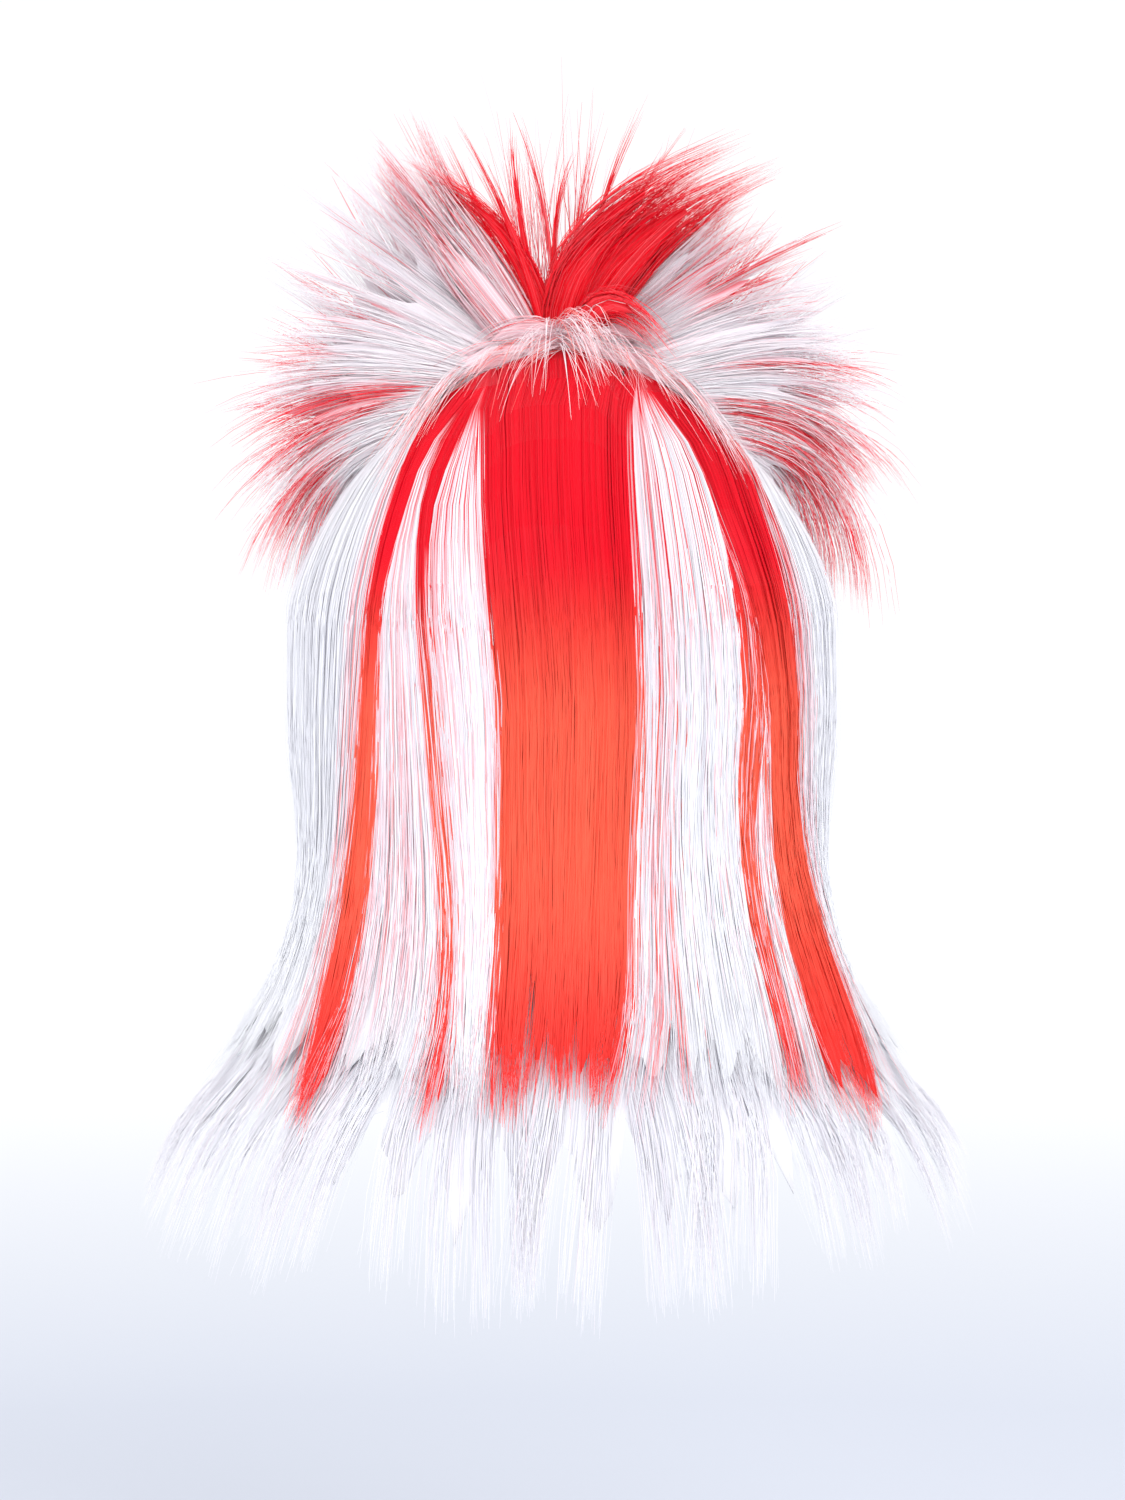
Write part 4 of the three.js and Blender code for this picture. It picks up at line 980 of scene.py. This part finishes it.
def fan_curves(fan, side, q, r, reach=1.0, jitter=0.0, root_q=None):
    """Root, bend and tip of hair at place q down the fan and row r, counted in spikes and rows.

    Hair of the rear row starts close to the middle of the crown and sweeps over the side.
    """
    at, rank = np.arange(len(fan)), np.arange(len(FAN_ROWS))
    root_q = q if root_q is None else root_q
    down, swept = np.clip(root_q / (len(fan) - 1), 0, 1), smoothstep(1.2, 2.0, r)
    turned = np.interp(q, at, fan[:, 0])
    length = SPIKE_REACH * np.interp(q, at, fan[:, 1]) * np.interp(r, rank, FAN_ROWS[:, 2])
    length = length * (1 - 0.03 * (1 + uneven(np.round(q) + 8 * np.round(r)))) * reach
    turn = np.radians(turned + jitter)
    root_turn = lerp(np.interp(root_q, at, fan[:, 2]), lerp(*SWEEP_TURNS, down), swept)
    sweep_y = lerp(*SWEEP_Y, smoothstep(0.05, 0.45, down))
    root_y = lerp(np.interp(r, rank, FAN_ROWS[:, 0]) * HEAD_HALF_DEPTH, sweep_y, swept)
    root = crown_point(root_y, np.radians(side * root_turn), lerp(ROOT_LIFT, lerp(*SWEEP_LIFT, down), swept))
    tip_y = np.interp(r, rank, FAN_ROWS[:, 1]) * HEAD_HALF_DEPTH
    tip = np.stack([side * length * np.sin(turn), tip_y + 0 * length, length * np.cos(turn) - BURST_DROP], axis=-1)
    chord = np.linalg.norm(tip - root, axis=-1)
    bow = 0.7 if side > 0 else 1.0
    arch = bow * (0.04 + 0.34 * np.clip(turned / 120, 0, 1.1) ** 2) * chord
    bend = (root + tip) / 2 + arch[..., None] * np.array([0.8 * side, 0, 0.85])
    return root, bend, tip


def streak_share(streaks, turn, t, row):
    """Share of the strands that are red at t along hair whose tip is turned this far."""
    share = np.zeros(np.broadcast(turn, t).shape)
    for centre, half, start, end, amount in streaks:
        near = 1 - smoothstep(0.6 * half, 1.4 * half, np.abs(turn + 3.5 * (2 - row) - centre))
        shown = smoothstep(start - 0.08, start + 0.1, t) * (1 - smoothstep(end, end + 0.1, t))
        share = np.maximum(share, amount * near * shown)
    return share


def side_fan(rng, mesh, fibres, fan, streaks, side):
    """The spiky hair at one side: strands that lie on the fan's masses and draw into spikes."""
    count, spikes = fibres.fan_count, len(fan) - 1
    rows = rng.choice(FAN_WEBS[:, 0], count, p=FAN_WEBS[:, 1] / FAN_WEBS[:, 1].sum())
    q = rng.uniform(-0.5, spikes + 0.5, count)
    order = np.lexsort((q, rows))
    q, rows = q[order], rows[order]
    cell = np.floor(q * 3)
    lock = (cell + 0.5 + 0.28 * uneven(cell * 5) + 0.1 * uneven(cell * 5 + rows * 6)) / 3
    tip_q = lerp(lerp(q, lock, rng.uniform(0.55, 1.0, count)), np.clip(np.round(q), 0, spikes), 0.15)
    luck = uneven(cell * 3 + rows * 10)
    reach = rng.uniform(0.88, 1.06, count) * (1 + 0.06 * luck)
    reach = np.where(rng.random(count) < 0.08, reach * 1.08, reach)
    r = rows + rng.normal(0, 0.015, count)
    root, bend, tip = fan_curves(fan, side, tip_q, r, reach, rng.normal(0, 0.55, count), q + rng.normal(0, 0.25, count))
    apart = rng.normal(0, 1, count)[:, None] * np.array([0, 1, 0])
    bend = bend + rng.normal(0, 0.0012, (count, 3)) + 0.0015 * apart
    tip = tip + rng.normal(0, 0.0007, (count, 3)) + 0.0065 * apart
    t = np.linspace(0, 1, CROWN_STATIONS + 1)
    path = bezier(root, bend, tip, np.broadcast_to(t, (count, len(t))))
    rearward = np.where(rng.random(count) < lerp(0.3, 0.75, rows / 2), 1, -1)[:, None]
    lie = lerp(*WEB_HALF, smoothstep(0.1, 1.0, t / WEB_REACH)) + rng.uniform(-0.0002, 0.0012, count)[:, None]
    path[..., 1] += rearward * lie
    turn = np.interp(tip_q, np.arange(len(fan)), fan[:, 0])[:, None]
    share = streak_share(streaks, turn, t, rows[:, None])
    chance = rng.random(count)[:, None]
    strong = smoothstep(chance - 0.12, chance + 0.12, share) * rng.uniform(0.75, 1.0, count)[:, None]
    stray = (rng.random(count) < 0.035)[:, None] * smoothstep(0.3, 0.6, t)
    red = np.maximum(strong, np.maximum(stray * 0.8, np.minimum(rng.exponential(0.06, count), 0.35)[:, None]))
    outward = unit(path - np.array([0, 0, -HEAD_HALF_HEIGHT]))
    width = fibres.crown_width * rng.uniform(0.75, 1.25, count)
    mesh.add_strands(path, outward, width, red, rng.uniform(0.55, 0.95, count), np.full(red.shape, 0.28))


def fan_webs(mesh, fan, streaks, side):
    """The closed masses of hair inside a side's fan, one for each row of FAN_WEBS."""
    total = len(FAN_WEBS) + 1
    columns, stations = 10 * len(fan) + 1, 9
    q = np.linspace(-0.45, len(fan) - 0.55, columns)
    turn = np.interp(q, np.arange(len(fan)), fan[:, 0])[:, None]
    t = np.linspace(0, 1, stations)
    for number, row in enumerate(FAN_WEBS[:, 0]):
        ridge = 0.5 + 0.5 * np.cos(2 * np.pi * (q * 1.7 + 0.37 * row))
        lock = np.floor(q * 1.7 + 0.37 * row + 0.5)
        reach = WEB_REACH * (0.68 + 0.36 * ridge**1.5 + 0.10 * uneven(lock * 3 + 7 * number))
        reach = reach * (1 - 0.45 * smoothstep(len(fan) - 3.4, len(fan) - 1.4, q))
        root, bend, tip = fan_curves(fan, side, q, np.full(columns, row))
        along = t * reach[:, None]
        path = bezier(root, bend, tip, along)
        across = unit(np.cross(np.gradient(path, axis=0), np.gradient(path, axis=1)))
        half = lerp(*WEB_HALF, smoothstep(0.1, 1.0, t))[None] * (0.7 + 0.3 * ridge[:, None])
        outer, inner = path + across * half[..., None], path - across * half[..., None]
        shape = half.shape
        red = 0.05 + 0.75 * streak_share(streaks, turn, along, row)
        # Painted shade: the webs get a middling tone, a darker white than most strands lying on them.
        look = np.stack([red, np.full(shape, 0.5), np.full(shape, 0.28)], axis=-1)
        grain = np.stack([
            np.broadcast_to(q[:, None] * 1.3, shape), np.broadcast_to(t * 0.4, shape), np.full(shape, row)], axis=-1)
        mesh.add_slab(outer, inner, look, grain, map_box(number, total), smooth=False)
    return map_box(total - 1, total)


# Operators

class WIG_OT_striped_layer(bpy.types.Operator):
    """Hangs the white panels and red stripes of the long hair from the parting"""
    bl_idname = "wig.striped_layer"
    bl_label = "Striped Layer"

    def execute(self, context):
        fibres = context.scene.wig_fibres
        for number, (name, base, first, second, locks, end, start, share) in enumerate(STRIPED_LAYER):
            rng = np.random.default_rng(100 + number)
            mesh = HairMesh()

            def angle_at(across, z, first=first, second=second):
                return lerp(parting_angle(second, z), parting_angle(first, z), across)

            def end_of(across, end=end, name=name):
                return end - notched(name, across)

            def depth_of(z):
                return 0.0002 + END_SINK * smoothstep(0.84, 1.04, (PARTING_RISE - z) / TOP_LENGTH)

            long_mass(mesh, base, angle_at, depth_of, lambda z: TOP_THICK + 0 * z, end_of, locks, start,
                      short=0.03, zigzag=0.06 if base else 0.07, red_top=RED_TOPS.get(name, 0.0))
            count = int(fibres.striped_count * share)
            path, outward, drop, across = long_strands(
                rng, fibres, count, angle_at, depth_of, end_of, locks * 2, start, spill=0.05 / locks,
                branch=start > 0)
            red = vein_redness(rng, name, base, across, drop)
            tone = long_tone(0.65 * grouped_tone(rng, across, locks * 5)[:, None], drop)
            width = fibres.long_width * rng.uniform(0.75, 1.25, count)
            mesh.add_strands(path, outward, width, red, tone, drop)
            piece = mesh.make(name + "_hair", hair_materials(context), taper=0.85, height=0.3)
            settle(piece, name, slot="red_hair" if base else "white_hair")
        return {"FINISHED"}


class WIG_OT_under_layer(bpy.types.Operator):
    """Hangs the longer white hair beneath the stripes"""
    bl_idname = "wig.under_layer"
    bl_label = "Under Layer"

    def execute(self, context):
        fibres = context.scene.wig_fibres
        rng = np.random.default_rng(200)
        mesh = HairMesh()

        def angle_at(across, z):
            return lerp(-FRONT_EDGE, FRONT_EDGE, across) + 0 * z

        def end_of(across):
            turn = np.degrees(lerp(-FRONT_EDGE, FRONT_EDGE, across))
            return np.interp(turn, UNDER_TIPS[:, 0], UNDER_TIPS[:, 1])

        def depth_of(z):
            return TOP_THICK + LAYER_GAP + LAYER_SLACK * (PARTING_RISE - z) / TOP_LENGTH

        def thick_of(z):
            return UNDER_THICK * np.clip(lerp(0.5, 1, (PARTING_RISE - z) / (PARTING_RISE - WIDEST_Z)), 0.5, 1)

        # Painted shade: the under mass gets a lower tone than the other masses, so a darker white.
        long_mass(mesh, 0.0, angle_at, depth_of, thick_of, end_of, 2 * UNDER_LOCKS, short=0.09, zigzag=0.14,
                  tone=-0.15)
        count = fibres.under_count
        path, outward, drop, across = long_strands(
            rng, fibres, count, angle_at, depth_of, end_of, UNDER_LOCKS * 3, start_drop=0.5, stations=(0, 7))
        red = np.zeros(drop.shape) + rng.exponential(0.02, count)[:, None]
        tone = 0.05 + 0.6 * grouped_tone(rng, across, 60)
        mesh.add_strands(path, outward, fibres.long_width * rng.uniform(0.75, 1.25, count), red, tone, drop)
        inside = fibres.under_count // 6
        path, outward, drop, across = long_strands(
            rng, fibres, inside, angle_at, lambda z: depth_of(z) + thick_of(z) - 0.0006, end_of, UNDER_LOCKS * 3,
            stations=(5, 4))
        mesh.add_strands(path, outward, fibres.long_width * rng.uniform(0.9, 1.5, inside), np.zeros(drop.shape),
                         grouped_tone(rng, across, 60), drop)
        piece = mesh.make("under_layer_hair", hair_materials(context), taper=0.7, height=0.35)
        settle(piece, "under_layer", slot="white_hair")
        return {"FINISHED"}


class WIG_OT_side_spikes(bpy.types.Operator):
    """Roots the spiky hair at both sides of the crown"""
    bl_idname = "wig.side_spikes"
    bl_label = "Side Spikes"

    def execute(self, context):
        fibres = context.scene.wig_fibres
        for name, fan, streaks, side, seed in (
            ("side_spikes_left", LEFT_FAN, LEFT_STREAKS, 1, 301),
            ("side_spikes_right", RIGHT_FAN, RIGHT_STREAKS, -1, 302),
        ):
            rng = np.random.default_rng(seed)
            mesh = HairMesh()
            box = fan_webs(mesh, fan, streaks, side)
            turns = (24, 53) if side > 0 else (-53, -24)
            pad_mass(mesh, -0.61, 0.12, *turns, 0.08, box)
            side_fan(rng, mesh, fibres, fan, streaks, side)
            piece = mesh.make(name + "_hair", hair_materials(context), taper=0.8)
            settle(piece, name, slot="white_hair")
        return {"FINISHED"}


class WIG_OT_crown_spikes(bpy.types.Operator):
    """Roots the thin pale spikes on top of the crown"""
    bl_idname = "wig.crown_spikes"
    bl_label = "Crown Spikes"

    each: bpy.props.IntProperty(name="Strands", description="Strands in each spike", default=34, min=4)

    def execute(self, context):
        fibres = context.scene.wig_fibres
        rng = np.random.default_rng(400)
        mesh = HairMesh()
        total = len(TOP_SPIKES) + 1
        for number, (root_turn, root_y, x, y, z, redness) in enumerate(TOP_SPIKES):
            root = crown_point(root_y * HEAD_HALF_DEPTH, math.radians(root_turn), ROOT_LIFT)
            tip = np.array([x, y, z]) * SPIKE_REACH
            bend = (root + tip) / 2
            bend[0] = lerp(root[0], tip[0], 0.3)
            red = mixed_red(rng, self.each, 0.25 + redness, haze=0.25, weakest=0.5)
            hair_lock(rng, mesh, (root, bend, tip), (0.006, 0.004, 0.006), self.each, red, map_box(number, total),
                      flat=0.7, fray=0.008, stretch=(0.6, 1.1), width=fibres.crown_width * 0.9, core_end=0.15,
                      core_red=0.12)
        pad_mass(mesh, -0.61, 0.05, -24, 24, 0.1, map_box(total - 1, total))
        piece = mesh.make("crown_spikes_hair", hair_materials(context))
        settle(piece, "crown_spikes", slot="white_hair")
        return {"FINISHED"}


class WIG_OT_red_tufts(bpy.types.Operator):
    """Roots the two red tufts on the crown"""
    bl_idname = "wig.red_tufts"
    bl_label = "Red Tufts"

    each: bpy.props.IntProperty(name="Strands", description="Strands in a lock of middling size", default=140, min=4)

    def execute(self, context):
        fibres = context.scene.wig_fibres
        lift = BAND_WALL + PIECE_GAP + 0.8 * LOCK_RADIUS
        for name, locks, seed in (("red_tuft_right", RIGHT_TUFT, 501), ("red_tuft_left", LEFT_TUFT, 502)):
            rng = np.random.default_rng(seed)
            mesh = HairMesh()
            for number, (root_x, root_y, bx, by, bz, tx, ty, tz, wide, redness) in enumerate(locks):
                turn = math.asin(root_x * SPIKE_REACH / (HEAD_HALF_WIDTH + lift))
                root = crown_point(root_y * SPIKE_REACH, turn, lift)
                bend, tip = np.array([bx, by, bz]) * SPIKE_REACH, np.array([tx, ty, tz]) * SPIKE_REACH
                radius, count = wide * LOCK_RADIUS, int(self.each * wide)
                red = mixed_red(rng, count, redness, haze=0.25, weakest=0.85)
                hair_lock(rng, mesh, (root, bend, tip), (0.9 * radius, 1.1 * radius, 0.28 * radius), count, red,
                          map_box(number, len(locks)), flat=0.5, fray=0.0014 + 0.0012 * min(wide, 1),
                          stretch=(0.78, 1.06), tone=(0.6, 1.0), along=(0.05, 0.28),
                          width=fibres.crown_width * 1.15, core_end=0.76 if redness > 0.8 else 0.62)
            piece = mesh.make(name + "_hair", hair_materials(context), taper=0.75)
            settle(piece, name, slot="red_hair")
        return {"FINISHED"}


class WIG_OT_parting_roll(bpy.types.Operator):
    """Rolls the short pale hair over the parting"""
    bl_idname = "wig.parting_roll"
    bl_label = "Parting Roll"

    each: bpy.props.IntProperty(name="Strands", description="Strands in a lock of middling size", default=95, min=4)

    def execute(self, context):
        fibres = context.scene.wig_fibres
        rng = np.random.default_rng(600)
        mesh = HairMesh()
        total = len(ROLL_LOCKS) + 1
        for number, (from_turn, from_y, to_turn, to_y, bend_rise, tip_rise, wide) in enumerate(ROLL_LOCKS):
            root = crown_point(from_y * HEAD_HALF_DEPTH, math.radians(from_turn), 0.8 * PAD_RISE)
            tip = crown_point(to_y * HEAD_HALF_DEPTH, math.radians(to_turn), tip_rise * PAD_RISE)
            middle = math.radians((from_turn + to_turn) / 2)
            bend = crown_point((from_y + to_y) / 2 * HEAD_HALF_DEPTH, middle, bend_rise * PAD_RISE)
            radius, count = wide * LOCK_RADIUS, int(self.each * wide)
            red = mixed_red(rng, count, 0.12, haze=0.30, weakest=0.4)
            hair_lock(rng, mesh, (root, bend, tip), (0.7 * radius, radius, 0.6 * radius), count, red,
                      map_box(number, total), flat=0.7, fray=0.002, stretch=(0.75, 1.12), tone=(0.6, 1.0),
                      width=fibres.crown_width, core_red=0.3)
        self.wisps(rng, mesh, fibres)
        pad_mass(mesh, 0.04, 0.12, -25, 25, 0.4, map_box(total - 1, total))
        piece = mesh.make("parting_roll_hair", hair_materials(context))
        settle(piece, "parting_roll", slot="mixed_hair")
        return {"FINISHED"}

    def wisps(self, rng, mesh, fibres):
        """Thin pale hair that curls over the parting and lies on the red stripe."""
        for root_x, tip_x, tip_z, rise, count in WISPS:
            x = tip_x + rng.normal(0, 0.003, count)
            z = tip_z + rng.normal(0, 0.004, count)
            angle = np.arcsin(np.clip(x / fall_size(z)[0], -0.97, 0.97))
            tip, _ = hair_point(angle, z, rng.uniform(-0.0025, -0.0005, count))
            lift = rng.uniform(0.012, 0.020, count)
            turn = np.arcsin(np.clip((root_x + rng.normal(0, 0.0035, count)) / (HEAD_HALF_WIDTH + lift), -1, 1))
            root = crown_point(rng.uniform(0.002, 0.010, count), turn, lift)
            bend = lerp(root, tip, 0.4) + np.array([0, 0.004, rise]) * rng.uniform(0.6, 1.6, count)[:, None]
            t = np.linspace(0, 1, CROWN_STATIONS + 3)
            path = bezier(root, bend, tip, np.broadcast_to(t, (count, len(t))))
            outward = unit(path - np.array([0, 0, -HEAD_HALF_HEIGHT]))
            red = mixed_red(rng, count, 0.2, haze=0.2, weakest=0.35)[:, None]
            shape = (count, len(t))
            mesh.add_strands(path, outward, fibres.crown_width * rng.uniform(0.6, 1.0, count),
                             np.broadcast_to(red, shape), rng.uniform(0.7, 1.0, count), np.full(shape, 0.5))


class WIG_OT_fringe(bpy.types.Operator):
    """Roots the short spiky hair over the forehead"""
    bl_idname = "wig.fringe"
    bl_label = "Fringe Spikes"

    each: bpy.props.IntProperty(name="Strands", description="Strands in each spike", default=44, min=4)

    def execute(self, context):
        fibres = context.scene.wig_fibres
        rng = np.random.default_rng(700)
        mesh = HairMesh()
        total = sum(row[3] for row in FRINGE_ROWS) + 1
        number = 0
        for root_y, forward, rise, spikes in FRINGE_ROWS:
            for i in range(spikes):
                turn = math.radians(lerp(-48, 48, i / (spikes - 1)))
                root = crown_point(root_y * HEAD_HALF_DEPTH, turn, PAD_RISE - 0.003)
                reach = FRINGE_LENGTH * (1 + 0.12 * float(uneven(i)))
                tip = root + np.array([0.75 * math.sin(turn), forward, rise]) * reach
                bend = (root + tip) / 2 + np.array([0, 0, 0.12 * reach])
                red = mixed_red(rng, self.each, 0.18)
                hair_lock(rng, mesh, (root, bend, tip), (0.007, 0.0055, 0.0015), self.each, red,
                          map_box(number, total), face=(0.0, 0.0, 1.0), fray=0.0025, width=fibres.crown_width,
                          core_red=0.05)
                number += 1
        pad_mass(mesh, -0.82, -0.61, -54, 54, 0.08, map_box(total - 1, total))
        piece = mesh.make("fringe_spikes_hair", hair_materials(context))
        settle(piece, "fringe_spikes", slot="white_hair")
        return {"FINISHED"}


def rim_polar(azimuth):
    """Angle from the top of the head to the cap's rim."""
    middle = (RIM_DROP_FRONT + RIM_DROP_NAPE) / 4 + RIM_DROP_EAR / 2
    tilt = (RIM_DROP_NAPE - RIM_DROP_FRONT) / 2
    drop = middle + tilt * np.sin(azimuth) + (RIM_DROP_EAR - middle) * np.cos(2 * azimuth)
    return np.arccos(1 - drop / HEAD_HALF_HEIGHT)


def head_point(azimuth, polar, lift):
    return np.stack([
        (HEAD_HALF_WIDTH + lift) * np.sin(polar) * np.cos(azimuth),
        (HEAD_HALF_DEPTH + lift) * np.sin(polar) * np.sin(azimuth),
        (HEAD_HALF_HEIGHT + lift) * np.cos(polar) - HEAD_HALF_HEIGHT,
    ], axis=-1)


def ring_shell(mesh, rings, azimuths, closed_top):
    """A closed shell from rings of points, each a full turn round the head."""
    count, around = rings.shape[:2]
    points = rings.reshape(-1, 3)
    j, k = np.meshgrid(np.arange(count if not closed_top else count - 1), np.arange(around), indexing="ij")
    after, below = (k + 1) % around, (j + 1) % count
    quads = np.stack([j * around + k, below * around + k, below * around + after, j * around + after], -1)
    quads = quads.reshape(-1, 4)
    if signed_volume(points, quads) < 0:
        quads = quads[:, ::-1]
    grain = np.stack([
        np.broadcast_to(azimuths, (count, around)), np.broadcast_to(np.arange(count)[:, None], (count, around)),
        np.zeros((count, around)),
    ], axis=-1).reshape(-1, 3)
    u = np.stack([k, k, k + 1, k + 1], -1).reshape(-1, 4) / around
    v = np.stack([j, j + 1, j + 1, j], -1).reshape(-1, 4) / count
    mesh.add(points, 0 * points, grain, [quads], [np.stack([u, v], axis=-1)], 0)


class WIG_OT_cap(bpy.types.Operator):
    """Makes the net cap with the rows of stitching that hold the wefts"""
    bl_idname = "wig.cap"
    bl_label = "Stretch Cap"

    rows: bpy.props.IntProperty(name="Weft Rows", description="Rows of stitching", default=12, min=3)

    def execute(self, context):
        around, steps = 120, self.rows * 5
        azimuths = np.linspace(0, 2 * np.pi, around, endpoint=False)
        band_angle = (BAND_HEIGHT + PIECE_GAP) / HEAD_HALF_HEIGHT
        rim = rim_polar(azimuths) - band_angle
        shares = np.linspace(0.004, 1, steps + 1)
        weft = 0.00045 * np.maximum(0, np.cos(2 * np.pi * shares * self.rows)) ** 6
        outer = [head_point(azimuths, s * rim, CAP_WALL - 0.0005 + w) for s, w in zip(shares, weft)]
        inner = [head_point(azimuths, s * rim, 0.0002 - 0.4 * w) for s, w in zip(shares, weft)]
        mesh = HairMesh()
        ring_shell(mesh, np.array(inner + outer[::-1]), azimuths, closed_top=False)
        piece = mesh.make("stretch_cap_net", [net_material(context.scene.wig_colours)])
        settle(piece, "stretch_cap", slot="cap_net")
        return {"FINISHED"}


class WIG_OT_band(bpy.types.Operator):
    """Makes the ribbed elastic band round the cap's rim"""
    bl_idname = "wig.band"
    bl_label = "Edge Band"

    ribs: bpy.props.IntProperty(name="Ribs", description="Ribs round the band", default=180, min=20)

    def execute(self, context):
        around = self.ribs * 2
        azimuths = np.linspace(0, 2 * np.pi, around, endpoint=False)
        low = rim_polar(azimuths)
        high = low - BAND_HEIGHT / HEAD_HALF_HEIGHT
        rib = 0.00018 * (np.arange(around) % 2)
        profile = [
            (0.0, 0.0002), (0.5, 0.0002), (1.0, 0.0002), (1.0, BAND_WALL * 0.75), (0.97, BAND_WALL), (0.9, BAND_WALL),
            (0.86, BAND_WALL * 0.78), (0.5, BAND_WALL * 0.8), (0.14, BAND_WALL * 0.78), (0.1, BAND_WALL),
            (0.03, BAND_WALL), (0.0, BAND_WALL * 0.75),
        ]
        rings = [head_point(azimuths, lerp(high, low, s), lift - (rib if lift > 0.001 else 0)) for s, lift in profile]
        mesh = HairMesh()
        ring_shell(mesh, np.array(rings), azimuths, closed_top=False)
        piece = mesh.make("edge_band_elastic", [elastic_material(context.scene.wig_colours)])
        settle(piece, "edge_band", slot="elastic_band")
        return {"FINISHED"}


class WIG_OT_studio(bpy.types.Operator):
    """Sets the pale floor, the soft lights and the camera"""
    bl_idname = "wig.studio"
    bl_label = "Studio"

    def execute(self, context):
        studio = context.scene.wig_studio
        self.floor(studio)
        self.lights(context, studio)
        self.camera(context, studio)
        context.scene.view_settings.view_transform = "Standard"
        return {"FINISHED"}

    def floor(self, studio):
        mesh = bpy.data.meshes.new("floor")
        around, reach = 96, 30.0
        rim = [(reach * math.cos(a), reach * math.sin(a), -studio.floor_drop)
               for a in np.linspace(0, 2 * math.pi, around, endpoint=False)]
        mesh.from_pydata(rim, [], [tuple(range(around))])
        floor = bpy.data.objects.new("floor", mesh)
        bpy.context.scene.collection.objects.link(floor)
        nodes = Nodes("studio_floor")
        place = object_vector(nodes)
        gradient = nodes.add("ShaderNodeTexGradient", gradient_type="SPHERICAL")
        scaled = nodes.add("ShaderNodeMapping")
        scaled.inputs["Scale"].default_value = (0.25, 0.25, 0.0)
        nodes.join(place, scaled.inputs["Vector"])
        nodes.join(scaled.outputs["Vector"], gradient.inputs["Vector"])
        # Painted shade round the wig: the floor colour near the middle, white further out.
        pale = nodes.ramp(gradient.outputs["Fac"], [(0.3, (1.0, 1.0, 1.0)), (0.8, tuple(studio.floor_painted_shade))])
        mesh.materials.append(nodes.finish(pale, 0.9, 0.0))

    def lights(self, context, studio):
        world = bpy.data.worlds.new("studio")
        world.use_nodes = True
        sky = world.node_tree.nodes["Background"]
        sky.inputs["Color"].default_value = (0.97, 0.98, 1.0, 1)
        sky.inputs["Strength"].default_value = studio.sky
        context.scene.world = world
        for name, place, power, size in (
            ("key", (-0.9, 2.4, 1.3), studio.key, 1.6), ("side", (2.2, 1.4, 0.4), studio.side, 1.2),
        ):
            data = bpy.data.lights.new(name, "AREA")
            data.energy, data.size = power, size
            lamp = bpy.data.objects.new(name, data)
            lamp.location = place
            lamp.rotation_euler = (Vector((0, 0, -0.12)) - Vector(place)).to_track_quat("-Z", "Y").to_euler()
            context.scene.collection.objects.link(lamp)

    def camera(self, context, studio):
        frame_height, aim = 0.600, Vector((0.0, 0.045, -0.146))
        data = bpy.data.cameras.new("camera")
        data.sensor_width = 36.0
        data.lens = data.sensor_width * studio.camera_distance / frame_height
        camera = bpy.data.objects.new("camera", data)
        tilt = studio.camera_elevation
        camera.location = aim + studio.camera_distance * Vector((0, math.cos(tilt), math.sin(tilt)))
        camera.rotation_euler = (aim - camera.location).to_track_quat("-Z", "Y").to_euler()
        context.scene.collection.objects.link(camera)
        context.scene.camera = camera


OPERATORS = (
    WIG_OT_cap, WIG_OT_band, WIG_OT_under_layer, WIG_OT_striped_layer, WIG_OT_side_spikes,
    WIG_OT_crown_spikes, WIG_OT_red_tufts, WIG_OT_parting_roll, WIG_OT_fringe, WIG_OT_studio,
)


class WIG_PT_pieces(bpy.types.Panel):
    """The wig's pieces and settings in the sidebar"""
    bl_idname = "WIG_PT_pieces"
    bl_label = "Mullet Wig"
    bl_space_type = "VIEW_3D"
    bl_region_type = "UI"
    bl_category = "Wig"

    def draw(self, context):
        layout = self.layout
        for group in (context.scene.wig_fibres, context.scene.wig_colours, context.scene.wig_studio):
            column = layout.column(align=True)
            for name in group.__annotations__:
                column.prop(group, name)
        for operator in OPERATORS:
            layout.operator(operator.bl_idname)


SETTINGS = {"wig_fibres": WigFibres, "wig_colours": WigColours, "wig_studio": WigStudio}


def register():
    for cls in (*SETTINGS.values(), *OPERATORS, WIG_PT_pieces):
        bpy.utils.register_class(cls)
    for name, cls in SETTINGS.items():
        setattr(bpy.types.Scene, name, bpy.props.PointerProperty(type=cls))


def unregister():
    for name in SETTINGS:
        delattr(bpy.types.Scene, name)
    for cls in (WIG_PT_pieces, *reversed(OPERATORS), *reversed(SETTINGS.values())):
        bpy.utils.unregister_class(cls)


def main():
    register()
    for make in (
        bpy.ops.wig.cap, bpy.ops.wig.band, bpy.ops.wig.under_layer, bpy.ops.wig.striped_layer,
        bpy.ops.wig.side_spikes, bpy.ops.wig.crown_spikes, bpy.ops.wig.red_tufts, bpy.ops.wig.parting_roll,
        bpy.ops.wig.fringe, bpy.ops.wig.studio,
    ):
        make()


if __name__ == "__main__":
    main()
